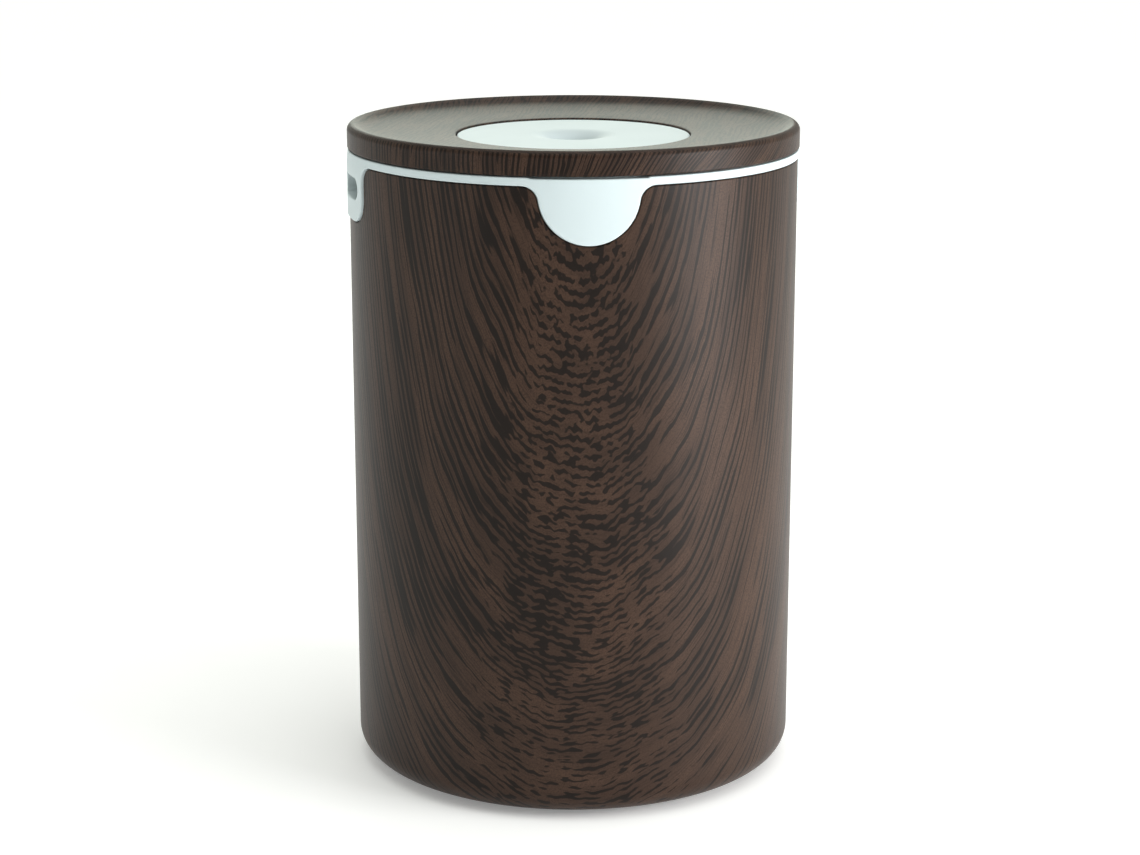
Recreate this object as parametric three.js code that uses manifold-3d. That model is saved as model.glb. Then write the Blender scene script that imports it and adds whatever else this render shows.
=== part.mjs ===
// Table-top ultrasonic cool mist humidifier, in millimetres, +Z up.
// The origin is on the floor at the centre of the round body; the front (the half-round tab) faces -Y.
//
// The wood-look outer shell holds a water deck, and the electronics and the fan are under that deck.
// A white water tank drops into the shell: its rim ring and three tabs hang in notches of the shell's wall,
// and the two side tabs have finger slots. A dished wood-look lid with a white mist outlet covers the tank.

import * as THREE from 'three';
import { mergeVertices } from 'three/addons/utils/BufferGeometryUtils.js';
import Module from 'manifold-3d';

const wasm = await Module();
wasm.setup();

// ---------------------------------------------------------------- driving dimensions

// Clearance between pieces that meet.
const GAP = 0.3;

// Stack of heights, from the floor up.
const FOOT_HEIGHT = 2;
const SHELL_TOP = 237.8;
const RIM_BOTTOM = SHELL_TOP + GAP;
const RIM_TOP = 241.1;
const LID_BOTTOM = 241.6;
const LID_TOP = 250.5;

// Radii of the main round pieces.
const LID_RADIUS = 86;
const RIM_RADIUS = 85.9;
const SHELL_RADIUS = 85.4;
const SHELL_WALL = 2.4;
const SHELL_INNER = SHELL_RADIUS - SHELL_WALL;
const TANK_RADIUS = 81.6;
const TANK_WALL = 2.2;
const TANK_INNER = TANK_RADIUS - TANK_WALL;

// Shell details.
const BOTTOM_FILLET = 9.4;
const PLATE_RADIUS = 73.2;
const LIP_RADIUS = 70.5;
const LEDGE_TOP = 84.2;
const LEDGE_RADIUS = 79.5;

// Deck: the water basin inside the shell.
const DECK_FLOOR = 60.4;
const DECK_UNDERSIDE = 58;
const BASIN_RADIUS = 74;
const DECK_RIM_TOP = 86.9;

// Tank floor.
const TANK_BOTTOM = DECK_RIM_TOP + GAP;
const TANK_FLOOR = TANK_BOTTOM + SHELL_WALL;

// Half-round front tab: an arc below the rim, joined to it by two shoulder fillets.
const FRONT_TAB_RADIUS = 18.5;
const FRONT_TAB_CENTRE_Z = 235.3;
const FRONT_SHOULDER = 5.75;

// Side tabs with their finger slots and the pockets behind them.
const SIDE_TAB_HALF_WIDTH = 18.5;
const SIDE_TAB_BOTTOM = 216;
const SIDE_TAB_CORNER = 10;
const SIDE_SHOULDER = 6;
const SIDE_TAB_RADIUS = 86.3;
const SIDE_TAB_TURN = 8.5;
const PRY_HALF_WIDTH = 20.8;
const PRY_DEPTH = 0.35;
const SLOT_CENTRE_Z = 228.6;
const SLOT_HEIGHT = 8;
const SLOT_HALF_LENGTH = 14;
const POCKET_DEPTH_RADIUS = 63;
const POCKET_HALF_WIDTH = 16;
const POCKET_BOTTOM = 219;
const POCKET_TOP = 236;
const POCKET_WALL = 2;

// Mist path on the centre line.
const CHIMNEY_INNER = 15;
const CHIMNEY_OUTER = 17.2;
const CHIMNEY_BOTTOM = 76;
const CHIMNEY_TOP = 228;
const INSERT_RADIUS = 44.4;
const INSERT_TOP = 245.3;
const OUTLET_RADIUS = 6;

// Places of what stands off the centre line.
const FAN_X = -42;
const VALVE_X = 44;
const FLOAT_X = 18;
const FLOAT_Y = 46;
const BOARD_CENTRE = [42, -4];
const REAR_BOARD_Y = [68, 69.6];
const JACK_Z = 22;
const JACK_WINDOW = [6.4, 5.4];
const BUTTON_Z = 46;
const BUTTON_HOLE = 7.35;
const DECK_BOSS_RADIUS = 64;
const DECK_BOSS_ANGLES = [60, 120, 240, 300];
const FOOT_CENTRE_RADIUS = 62;
const FOOT_ANGLES = [40, 140, 220, 320];

// Facets round a full turn, by the size of the piece.
const LARGE = 40;
const MEDIUM = 20;
const SMALL = 12;
const TINY = 8;

// ---------------------------------------------------------------- materials

const WOOD_LOOK = { color: 0x544238, roughness: 0.42, metalness: 0 };
const WHITE = { color: 0xdfeef0, roughness: 0.35, metalness: 0 };
const INNER_WHITE = { color: 0xd2d6d4, roughness: 0.5, metalness: 0 };
const BLACK = { color: 0x202123, roughness: 0.55, metalness: 0 };
const RUBBER = { color: 0x2b2b2d, roughness: 0.85, metalness: 0 };
const SILICONE = { color: 0xe6e3da, roughness: 0.6, metalness: 0 };
const FOAM = { color: 0x3a3d40, roughness: 0.95, metalness: 0 };
const STEEL = { color: 0xb9bcc0, roughness: 0.3, metalness: 1 };
const BRASS = { color: 0xc8a55a, roughness: 0.3, metalness: 1 };
const ALUMINIUM = { color: 0xc4c7ca, roughness: 0.4, metalness: 1 };
const BOARD_GREEN = { color: 0x1f5a3a, roughness: 0.5, metalness: 0 };
const COPPER = { color: 0xa5623a, roughness: 0.4, metalness: 1 };
const RED_WIRE = { color: 0x9c2a26, roughness: 0.6, metalness: 0 };
const GREY_WIRE = { color: 0x6f7276, roughness: 0.6, metalness: 0 };

// ---------------------------------------------------------------- solid helpers

const radians = THREE.MathUtils.degToRad;

// Turns a geometry into a solid: shared vertices, no empty triangles, faces pointing out.
function solidFrom(geometry) {
  const bare = geometry.index ? geometry.toNonIndexed() : geometry;
  bare.deleteAttribute('normal');
  bare.deleteAttribute('uv');
  const merged = mergeVertices(bare, 1e-4);
  const position = merged.attributes.position.array;
  const index = merged.index.array;
  const triangles = [];
  let volume = 0;
  for (let i = 0; i < index.length; i += 3) {
    const [a, b, c] = [index[i], index[i + 1], index[i + 2]];
    if (a === b || b === c || c === a) continue;
    triangles.push(a, b, c);
    const corners = [a, b, c].map((k) => new THREE.Vector3().fromArray(position, 3 * k));
    volume += corners[0].dot(corners[1].cross(corners[2]));
  }
  if (volume < 0) triangles.reverse();
  const mesh = new wasm.Mesh({
    numProp: 3,
    vertProperties: new Float32Array(position),
    triVerts: new Uint32Array(triangles),
  });
  return new wasm.Manifold(mesh);
}

function geometryFrom(solid) {
  const mesh = solid.getMesh();
  const geometry = new THREE.BufferGeometry();
  geometry.setAttribute('position', new THREE.BufferAttribute(mesh.vertProperties.slice(), 3));
  geometry.setIndex(new THREE.BufferAttribute(mesh.triVerts.slice(), 1));
  geometry.computeVertexNormals();
  return geometry;
}

const moved = (solid, x, y, z) => solid.translate([x, y, z]);

// A closed [radius, height] outline turned about a vertical axis through (x, y).
function turned(profile, segments, x = 0, y = 0) {
  const points = [...profile, profile[0]].map(([r, z]) => new THREE.Vector2(r, z));
  const geometry = new THREE.LatheGeometry(points, segments);
  geometry.rotateX(Math.PI / 2);
  geometry.translate(x, y, 0);
  return solidFrom(geometry);
}

function ring(inner, outer, low, high, segments, x = 0, y = 0) {
  return turned([[inner, low], [outer, low], [outer, high], [inner, high]], segments, x, y);
}

function rod(radius, low, high, segments, x = 0, y = 0) {
  const geometry = new THREE.CylinderGeometry(radius, radius, high - low, segments);
  geometry.rotateX(Math.PI / 2);
  geometry.translate(x, y, (low + high) / 2);
  return solidFrom(geometry);
}

// A round bar along Y, between two Y values.
function crossRod(radius, nearY, farY, segments, x, z) {
  const geometry = new THREE.CylinderGeometry(radius, radius, farY - nearY, segments);
  geometry.translate(x, (nearY + farY) / 2, z);
  return solidFrom(geometry);
}

function block(x, y, z) {
  const geometry = new THREE.BoxGeometry(x[1] - x[0], y[1] - y[0], z[1] - z[0]);
  geometry.translate((x[0] + x[1]) / 2, (y[0] + y[1]) / 2, (z[0] + z[1]) / 2);
  return solidFrom(geometry);
}

// A block given by its half width, its depth along Y and its height.
const centredBlock = (halfWidth, y, z) => block([-halfWidth, halfWidth], y, z);

// An outline drawn in X and Z, extruded along Y from nearY to farY.
function prismAlongY(shape, nearY, farY, curveSegments = 7) {
  const geometry = new THREE.ExtrudeGeometry(shape, {
    depth: farY - nearY,
    bevelEnabled: false,
    curveSegments,
  });
  geometry.rotateX(Math.PI / 2);
  geometry.translate(0, farY, 0);
  return solidFrom(geometry);
}

// A round lead through a list of points.
function lead(points, radius) {
  const curve = new THREE.CatmullRomCurve3(points.map((p) => new THREE.Vector3(...p)));
  const section = new THREE.Shape();
  section.absarc(0, 0, radius, 0, 2 * Math.PI, false);
  const geometry = new THREE.ExtrudeGeometry(section, {
    steps: 12,
    curveSegments: 3,
    extrudePath: curve,
  });
  return solidFrom(geometry);
}

const joined = (solids) => solids.reduce((sum, solid) => sum.add(solid));

// Points of an arc for a turned outline, angles in degrees.
function arc(centreR, centreZ, radius, start, end, steps) {
  return Array.from({ length: steps + 1 }, (_, i) => {
    const angle = radians(start + ((end - start) * i) / steps);
    return [centreR + radius * Math.cos(angle), centreZ + radius * Math.sin(angle)];
  });
}

function onCircle(radius, degrees) {
  return [radius * Math.cos(radians(degrees)), radius * Math.sin(radians(degrees))];
}

const model = new THREE.Group();

function part(name, solid, look) {
  const mesh = new THREE.Mesh(geometryFrom(solid), new THREE.MeshStandardMaterial(look));
  mesh.name = name;
  model.add(mesh);
}

// ---------------------------------------------------------------- tab outlines (X, Z)

// The shell's notch is the outline at clearance 0; a tab is the same outline drawn in by its clearance.
function frontTabOutline(clearance, top) {
  const radius = FRONT_TAB_RADIUS - clearance;
  const shoulder = FRONT_SHOULDER + clearance;
  const shoulderZ = SHELL_TOP - FRONT_SHOULDER;
  const reach = FRONT_TAB_RADIUS + FRONT_SHOULDER;
  const drop = FRONT_TAB_CENTRE_Z - shoulderZ;
  const shoulderX = Math.sqrt(reach * reach - drop * drop);
  const tilt = Math.asin(drop / reach);
  const shape = new THREE.Shape();
  shape.moveTo(shoulderX, top);
  shape.absarc(shoulderX, shoulderZ, shoulder, Math.PI / 2, Math.PI - tilt, false);
  shape.absarc(0, FRONT_TAB_CENTRE_Z, radius, -tilt, tilt - Math.PI, true);
  shape.absarc(-shoulderX, shoulderZ, shoulder, tilt, Math.PI / 2, false);
  shape.lineTo(-shoulderX, top);
  return shape;
}

function sideTabOutline(clearance, top) {
  const half = SIDE_TAB_HALF_WIDTH - clearance;
  const corner = SIDE_TAB_CORNER - clearance;
  const shoulder = SIDE_SHOULDER + clearance;
  const cornerX = half - corner;
  const cornerZ = SIDE_TAB_BOTTOM + SIDE_TAB_CORNER;
  const shoulderX = half + shoulder;
  const shoulderZ = SHELL_TOP - SIDE_SHOULDER;
  const shape = new THREE.Shape();
  shape.moveTo(shoulderX, top);
  shape.absarc(shoulderX, shoulderZ, shoulder, Math.PI / 2, Math.PI, false);
  shape.absarc(cornerX, cornerZ, corner, 0, -Math.PI / 2, true);
  shape.absarc(-cornerX, cornerZ, corner, -Math.PI / 2, -Math.PI, true);
  shape.absarc(-shoulderX, shoulderZ, shoulder, 0, Math.PI / 2, false);
  shape.lineTo(-shoulderX, top);
  return shape;
}

function slotOutline() {
  const end = SLOT_HEIGHT / 2;
  const straight = SLOT_HALF_LENGTH - end;
  const shape = new THREE.Shape();
  shape.absarc(straight, SLOT_CENTRE_Z, end, -Math.PI / 2, Math.PI / 2, false);
  shape.absarc(-straight, SLOT_CENTRE_Z, end, Math.PI / 2, (3 * Math.PI) / 2, false);
  return shape;
}

// How far the cutting blocks reach past the walls that they cut.
const OUTSIDE = -95;
const INSIDE = -70;
const REAR_CUT = [78, 90];
const NOTCH_TOP = 245;

// Drawn at the front, then turned to the sides. The two side tabs face each other across the axis,
// and the pair stands a little round from square to the front tab.
const toLeft = (solid) => solid.rotate([0, 0, SIDE_TAB_TURN - 90]);
const toRight = (solid) => solid.rotate([0, 0, SIDE_TAB_TURN + 90]);

// ---------------------------------------------------------------- base: shell, deck, plate, feet

const EDGE = 0.6;
const LIP_TOP = FOOT_HEIGHT + 4.9;
const LIP_BOTTOM = FOOT_HEIGHT + SHELL_WALL + GAP;

function outerShell() {
  const profile = [
    [PLATE_RADIUS + GAP, FOOT_HEIGHT],
    ...arc(SHELL_RADIUS - BOTTOM_FILLET, FOOT_HEIGHT + BOTTOM_FILLET, BOTTOM_FILLET, -90, 0, 4),
    [SHELL_RADIUS, SHELL_TOP - EDGE],
    [SHELL_RADIUS - EDGE, SHELL_TOP],
    [SHELL_INNER, SHELL_TOP],
    [SHELL_INNER, LEDGE_TOP],
    [LEDGE_RADIUS, LEDGE_TOP],
    [LEDGE_RADIUS, LEDGE_TOP - SHELL_WALL],
    [SHELL_INNER, LEDGE_TOP - 6],
    [SHELL_INNER, FOOT_HEIGHT + BOTTOM_FILLET],
    [SHELL_INNER - 4.5, LIP_TOP],
    [LIP_RADIUS, LIP_TOP],
    [LIP_RADIUS, LIP_BOTTOM],
    [PLATE_RADIUS + GAP, LIP_BOTTOM],
  ];
  const frontNotch = prismAlongY(frontTabOutline(0, NOTCH_TOP), OUTSIDE, INSIDE);
  const sideNotch = prismAlongY(sideTabOutline(0, NOTCH_TOP), OUTSIDE, INSIDE);
  const [jackHalf, jackRise] = JACK_WINDOW;
  const jackWindow = centredBlock(jackHalf, REAR_CUT, [JACK_Z - jackRise, JACK_Z + jackRise]);
  const buttonHole = crossRod(BUTTON_HOLE, ...REAR_CUT, MEDIUM, 0, BUTTON_Z);
  return turned(profile, LARGE)
    .subtract(frontNotch)
    .subtract(toLeft(sideNotch))
    .subtract(toRight(sideNotch))
    .subtract(jackWindow)
    .subtract(buttonHole);
}

const DUCT_INNER = 21;
const DUCT_OUTER = 23;
const DUCT_BOTTOM = 24.3;
const DUCT_TOP = 80;
const WELL_RADIUS = 9;
const WELL_BOSS = { inner: 13.2, outer: 16, low: 50.5 };
const HOLDER_SCREW_Y = 21;
const DECK_BOSS = { outer: 4, inner: 1.5, depth: 30 };
const BOARD_RIB = { centre: 12.5, half: 2, low: 12 };

function baseDeck() {
  const profile = [
    [WELL_RADIUS, DECK_FLOOR],
    [BASIN_RADIUS - 3, DECK_FLOOR],
    [BASIN_RADIUS, DECK_FLOOR + 3],
    [BASIN_RADIUS, DECK_RIM_TOP],
    [SHELL_INNER - 0.4, DECK_RIM_TOP],
    [SHELL_INNER - 0.4, LEDGE_TOP + GAP],
    [BASIN_RADIUS + SHELL_WALL, LEDGE_TOP + GAP],
    [BASIN_RADIUS + SHELL_WALL, DECK_UNDERSIDE],
    [WELL_BOSS.outer, DECK_UNDERSIDE],
    [WELL_BOSS.outer, WELL_BOSS.low],
    [WELL_BOSS.inner, WELL_BOSS.low],
    [WELL_BOSS.inner, DECK_UNDERSIDE],
    [WELL_RADIUS, DECK_UNDERSIDE],
  ];
  const blind = DECK_UNDERSIDE - 1;
  const additions = [
    turned(profile, LARGE),
    rod(DUCT_OUTER, DUCT_BOTTOM, DUCT_TOP, MEDIUM, FAN_X, 0),
    rod(3, DECK_FLOOR - 1, 69.6, TINY, VALVE_X, 0),
    rod(3.4, DECK_FLOOR - 1, 80, TINY, FLOAT_X, FLOAT_Y),
  ];
  const cuts = [
    rod(DUCT_INNER, 20, 90, MEDIUM, FAN_X, 0),
    rod(2.2, 50, 78, TINY, FLOAT_X, FLOAT_Y),
  ];
  for (const degrees of DECK_BOSS_ANGLES) {
    const [x, y] = onCircle(DECK_BOSS_RADIUS, degrees);
    additions.push(rod(DECK_BOSS.outer, LIP_BOTTOM, DECK_UNDERSIDE + 1, TINY, x, y));
    cuts.push(rod(DECK_BOSS.inner, 0, DECK_BOSS.depth, TINY, x, y));
  }
  for (const side of [-1, 1]) {
    additions.push(rod(3.2, WELL_BOSS.low, DECK_UNDERSIDE + 1, TINY, 0, side * HOLDER_SCREW_Y));
    cuts.push(rod(1.3, 40, blind, TINY, 0, side * HOLDER_SCREW_Y));
    // Two ribs with a slot each hold the upright rear board by its edges.
    const middle = side * BOARD_RIB.centre;
    const rib = [middle - BOARD_RIB.half, middle + BOARD_RIB.half];
    const slot = side > 0 ? [rib[0] - 1, middle] : [middle, rib[1] + 1];
    const slotY = [REAR_BOARD_Y[0] - GAP, REAR_BOARD_Y[1] + GAP];
    additions.push(block(rib, [65.6, 72], [BOARD_RIB.low, DECK_UNDERSIDE + 1]));
    cuts.push(block(slot, slotY, [0, blind]));
  }
  return cuts.reduce((deck, cut) => deck.subtract(cut), joined(additions));
}

const PLATE_TOP = FOOT_HEIGHT + SHELL_WALL;
const FAN_CORNER = 20;
const BOARD_CORNER = [19, 23];
const FOOT_POCKET = { radius: 7.3, depth: 1 };
const FAN_POST = { outer: 3, inner: 1.6, high: 9 };
const BOARD_POST = { outer: 2.8, inner: 1.4, high: 11.7 };
const AIR_SLOT = { pitch: 5.5, half: 1.5, field: 20.5, reach: 3 };
const PLATE_HOLE_BOTTOM = 3.2;

const boardCorner = (sx, sy) => [
  BOARD_CENTRE[0] + sx * BOARD_CORNER[0],
  BOARD_CENTRE[1] + sy * BOARD_CORNER[1],
];

function basePlate() {
  const additions = [rod(PLATE_RADIUS, FOOT_HEIGHT, PLATE_TOP, LARGE)];
  additions.push(ring(22.4, 24.4, PLATE_TOP - 1, 8.7, MEDIUM, FAN_X, 0));
  const cuts = [];
  for (const sx of [-1, 1]) {
    for (const sy of [-1, 1]) {
      const fanPost = [FAN_X + sx * FAN_CORNER, sy * FAN_CORNER];
      const boardPost = boardCorner(sx, sy);
      for (const [post, place] of [[FAN_POST, fanPost], [BOARD_POST, boardPost]]) {
        additions.push(rod(post.outer, PLATE_TOP - 1, post.high, TINY, ...place));
        cuts.push(rod(post.inner, PLATE_HOLE_BOTTOM, post.high + 1, TINY, ...place));
      }
    }
  }
  for (const degrees of FOOT_ANGLES) {
    const [x, y] = onCircle(FOOT_CENTRE_RADIUS, degrees);
    cuts.push(rod(FOOT_POCKET.radius, 0, FOOT_HEIGHT + FOOT_POCKET.depth, SMALL, x, y));
  }
  for (const degrees of DECK_BOSS_ANGLES) {
    const [x, y] = onCircle(DECK_BOSS_RADIUS, degrees);
    cuts.push(rod(1.9, 0, 10, TINY, x, y));
    cuts.push(rod(3.6, 0, FOOT_HEIGHT + 1.4, TINY, x, y));
  }
  // Air slots under the fan.
  for (let i = -AIR_SLOT.reach; i <= AIR_SLOT.reach; i += 1) {
    const offset = AIR_SLOT.pitch * i;
    const long = Math.sqrt(AIR_SLOT.field ** 2 - offset ** 2);
    const x = [FAN_X + offset - AIR_SLOT.half, FAN_X + offset + AIR_SLOT.half];
    cuts.push(block(x, [-long, long], [0, PLATE_TOP + 1]));
  }
  return cuts.reduce((plate, cut) => plate.subtract(cut), joined(additions));
}

function foot(degrees) {
  const [x, y] = onCircle(FOOT_CENTRE_RADIUS, degrees);
  const top = FOOT_HEIGHT + FOOT_POCKET.depth;
  return turned([[0, 0], [6.4, 0], [7, 0.6], [7, top], [0, top]], SMALL, x, y);
}

// A pan-head screw standing on its head, or hanging from it when its shaft points down.
function screw(x, y, headLow, headHeight, headRadius, shaftRadius, shaftTip) {
  const head = rod(headRadius, headLow, headLow + headHeight, TINY, x, y);
  const low = Math.min(shaftTip, headLow + headHeight / 2);
  const high = Math.max(shaftTip, headLow + headHeight / 2);
  return head.add(rod(shaftRadius, low, high, TINY, x, y));
}

// ---------------------------------------------------------------- base: fan

const FAN_BOTTOM = 9.3;
const FAN_TOP = 24;
const HUB_RADIUS = 11;

const FAN_HALF = 25;
const SPIDER_TOP = FAN_BOTTOM + 1.6;

function fanHousing() {
  const half = FAN_HALF;
  const bore = rod(22.6, 0, 40, MEDIUM, FAN_X, 0);
  let frame = block([FAN_X - half, FAN_X + half], [-half, half], [FAN_BOTTOM, FAN_TOP]);
  frame = frame.subtract(bore).add(rod(HUB_RADIUS, FAN_BOTTOM, SPIDER_TOP, MEDIUM, FAN_X, 0));
  for (const degrees of [45, 135]) {
    const strut = centredBlock(24, [-1.5, 1.5], [FAN_BOTTOM, SPIDER_TOP]).rotate([0, 0, degrees]);
    frame = frame.add(moved(strut, FAN_X, 0, 0));
  }
  for (const sx of [-1, 1]) {
    for (const sy of [-1, 1]) {
      frame = frame.subtract(rod(1.8, 0, 40, TINY, FAN_X + sx * FAN_CORNER, sy * FAN_CORNER));
    }
  }
  return frame;
}

const BLADES = 7;
const BLADE_TIP = 21.9;
const SHAFT_RADIUS = 1.4;
// The flats of the bearing's bore clear the corners of the turning shaft.
const BEARING_INNER = SHAFT_RADIUS + 0.2;

function fanRotor() {
  const cup = turned([
    [0, 23],
    [HUB_RADIUS - 1, 23],
    [HUB_RADIUS, 22],
    [HUB_RADIUS, 12],
    [9.4, 12],
    [9.4, 21.4],
    [3, 21.4],
    [3, 20.2],
    [SHAFT_RADIUS + 0.1, 20.2],
    [SHAFT_RADIUS + 0.1, 22],
    [0, 22],
  ], MEDIUM);
  const blades = [];
  for (let i = 0; i < BLADES; i += 1) {
    const flat = block([HUB_RADIUS - 0.8, BLADE_TIP - 1.1], [-0.7, 0.7], [-6, 6]);
    const blade = flat.rotate([38, 0, 0]);
    blades.push(moved(blade, 0, 0, 17.4).rotate([0, 0, (360 * i) / BLADES]));
  }
  return moved(cup.add(joined(blades)), FAN_X, 0, 0);
}

// ---------------------------------------------------------------- base: mist generator

const HOLDER_TOP = 50.2;
const HOLDER_BOTTOM = 46.4;

function transducerHolder() {
  const ears = block([-5, 5], [-26, 26], [HOLDER_BOTTOM, HOLDER_TOP]);
  const lip = ring(8, 12.8, HOLDER_TOP - 0.5, 52.7, MEDIUM);
  const disc = rod(17, HOLDER_BOTTOM, HOLDER_TOP, MEDIUM);
  let holder = disc.add(ears).subtract(rod(6, 40, 60, SMALL)).add(lip);
  for (const side of [-1, 1]) {
    holder = holder.subtract(rod(1.4, 40, 60, TINY, 0, side * HOLDER_SCREW_Y));
  }
  return holder;
}

const SEAL_PROFILE = [
  [8, 57.7],
  [12.9, 57.7],
  [12.9, 53],
  [8, 53],
  [8, 54.7],
  [10.4, 54.7],
  [10.4, 56.5],
  [8, 56.5],
];

// ---------------------------------------------------------------- base: boards, jack, button

const BOARD_BOTTOM = 12;
const BOARD_TOP = 13.6;

function driverBoard() {
  const [cx, cy] = BOARD_CENTRE;
  let board = block([cx - 22, cx + 22], [cy - 26, cy + 26], [BOARD_BOTTOM, BOARD_TOP]);
  for (const sx of [-1, 1]) {
    for (const sy of [-1, 1]) {
      board = board.subtract(rod(1.7, 0, 30, TINY, ...boardCorner(sx, sy)));
    }
  }
  return board;
}

const HEAT_SINK_X = 50;

function heatSink() {
  const shape = new THREE.Shape();
  const fins = 5;
  const pitch = 6.6;
  const fin = 1.6;
  const [low, root, top] = [BOARD_TOP + GAP, BOARD_TOP + GAP + 2.5, 34];
  const width = pitch * (fins - 1) + fin;
  const left = HEAT_SINK_X - width / 2;
  shape.moveTo(left, low);
  shape.lineTo(left + width, low);
  for (let i = fins - 1; i >= 0; i -= 1) {
    const x = left + pitch * i;
    shape.lineTo(x + fin, top);
    shape.lineTo(x, top);
    if (i > 0) {
      shape.lineTo(x, root);
      shape.lineTo(x - pitch + fin, root);
    }
  }
  return prismAlongY(shape, -22, -2);
}

const JACK_FACE_Y = 84.9;
const JACK_SOCKET_RADIUS = 3.15;

function dcJack() {
  const body = block([-6, 6], [REAR_BOARD_Y[1] + GAP, JACK_FACE_Y], [JACK_Z - 5, JACK_Z + 5]);
  const socket = crossRod(JACK_SOCKET_RADIUS, 75.3, 90, SMALL, 0, JACK_Z);
  const pinSeat = crossRod(1.4, 72.5, 80, TINY, 0, JACK_Z);
  return body.subtract(socket).subtract(pinSeat);
}

function tactSwitch() {
  const body = block([-3, 3], [REAR_BOARD_Y[1] + GAP, 73.6], [BUTTON_Z - 3, BUTTON_Z + 3]);
  return body.add(crossRod(1.7, 73, 74.6, TINY, 0, BUTTON_Z));
}

// Turned about the horizontal axis through the button hole, its domed face to the rear (+Y).
function powerButton() {
  const profile = [
    [0, 85.7],
    [4, 85.5],
    [6.4, 85.1],
    [7, 84.5],
    [7, 81.8],
    [8.6, 81.8],
    [8.6, 80.2],
    [2.2, 80.2],
    [2.2, 76.3],
    [0, 76.3],
  ];
  return moved(turned(profile, MEDIUM).rotate([-90, 0, 0]), 0, 0, BUTTON_Z);
}

// ---------------------------------------------------------------- base: float switch

const FLOAT_RADIUS = 10;
const FLOAT_BOTTOM = 60.8;
const FLOAT_TOP = 70;

function waterFloat() {
  const profile = [
    [4, FLOAT_BOTTOM],
    [FLOAT_RADIUS - 1, FLOAT_BOTTOM],
    [FLOAT_RADIUS, FLOAT_BOTTOM + 1],
    [FLOAT_RADIUS, FLOAT_TOP],
    [7.4, FLOAT_TOP],
    [7.4, 66.3],
    [5.2, 66.3],
    [5.2, FLOAT_TOP],
    [4, FLOAT_TOP],
  ];
  return turned(profile, 20, FLOAT_X, FLOAT_Y);
}

function ductHood() {
  const legs = [];
  for (const degrees of [45, 135, 225, 315]) {
    const [x, y] = onCircle((DUCT_INNER + DUCT_OUTER) / 2, degrees);
    legs.push(rod(0.9, DUCT_TOP, 84.5, 8, FAN_X + x, y));
  }
  return joined([rod(DUCT_OUTER, 84, 85.4, MEDIUM, FAN_X, 0), ...legs]);
}

// ---------------------------------------------------------------- tank

const RIM_INNER = TANK_RADIUS + GAP;
const CHIMNEY_HOLE = 17.6;
const NECK = { inner: 17, outer: 19.2, bottom: 76 };

function tankBody() {
  const profile = [
    [CHIMNEY_HOLE, TANK_FLOOR],
    [TANK_INNER - 4, TANK_FLOOR],
    [TANK_INNER, TANK_FLOOR + 4],
    [TANK_INNER, RIM_TOP],
    [TANK_RADIUS, RIM_TOP],
    [TANK_RADIUS, TANK_BOTTOM + 5],
    [TANK_RADIUS - 5, TANK_BOTTOM],
    [CHIMNEY_HOLE, TANK_BOTTOM],
  ];
  const neck = rod(NECK.outer, NECK.bottom, TANK_BOTTOM + 1, MEDIUM, VALVE_X, 0);
  const neckBore = rod(NECK.inner, 70, 95, MEDIUM, VALVE_X, 0);
  const reach = POCKET_WALL + GAP;
  const window = centredBlock(
    POCKET_HALF_WIDTH + reach,
    [OUTSIDE, POCKET_WALL - POCKET_DEPTH_RADIUS],
    [POCKET_BOTTOM - reach, POCKET_TOP + reach],
  );
  return turned(profile, LARGE)
    .add(neck)
    .subtract(neckBore)
    .subtract(toLeft(window))
    .subtract(toRight(window));
}

function tab(outline, radius, top) {
  const skin = ring(RIM_INNER, radius, SIDE_TAB_BOTTOM - 2, top, LARGE);
  return prismAlongY(outline, OUTSIDE, INSIDE).intersect(skin);
}

// The band that closes the shell, with the front tab.
function tankRim() {
  const band = turned([
    [RIM_INNER, RIM_BOTTOM],
    [RIM_RADIUS, RIM_BOTTOM],
    [RIM_RADIUS, RIM_TOP - EDGE],
    [RIM_RADIUS - EDGE, RIM_TOP],
    [RIM_INNER, RIM_TOP],
  ], LARGE);
  const tabTop = RIM_BOTTOM + EDGE;
  const frontTab = tab(frontTabOutline(GAP, tabTop), RIM_RADIUS, tabTop);
  const pryNotch = centredBlock(PRY_HALF_WIDTH, [-90, -83.4], [RIM_TOP - PRY_DEPTH, RIM_TOP + 2]);
  return band.add(frontTab).subtract(pryNotch);
}

// A side tab, which carries the finger slot, fixed under the band.
function gripPlate() {
  const plate = tab(sideTabOutline(GAP, RIM_BOTTOM), SIDE_TAB_RADIUS, RIM_BOTTOM);
  return plate.subtract(prismAlongY(slotOutline(), OUTSIDE, INSIDE));
}

// An open box behind the finger slot, its mouth in the tank's wall.
function fingerCup() {
  const wall = POCKET_WALL;
  const box = centredBlock(
    POCKET_HALF_WIDTH + wall,
    [OUTSIDE, wall - POCKET_DEPTH_RADIUS],
    [POCKET_BOTTOM - wall, POCKET_TOP + wall],
  );
  const hollowY = [OUTSIDE - 1, -POCKET_DEPTH_RADIUS];
  const hollow = centredBlock(POCKET_HALF_WIDTH, hollowY, [POCKET_BOTTOM, POCKET_TOP]);
  return box.subtract(hollow).intersect(rod(TANK_RADIUS - GAP, 200, NOTCH_TOP, LARGE));
}

const NUT = { inner: 17.5, outer: 24, low: TANK_FLOOR + 1.5, high: TANK_FLOOR + 4.5 };

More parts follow.
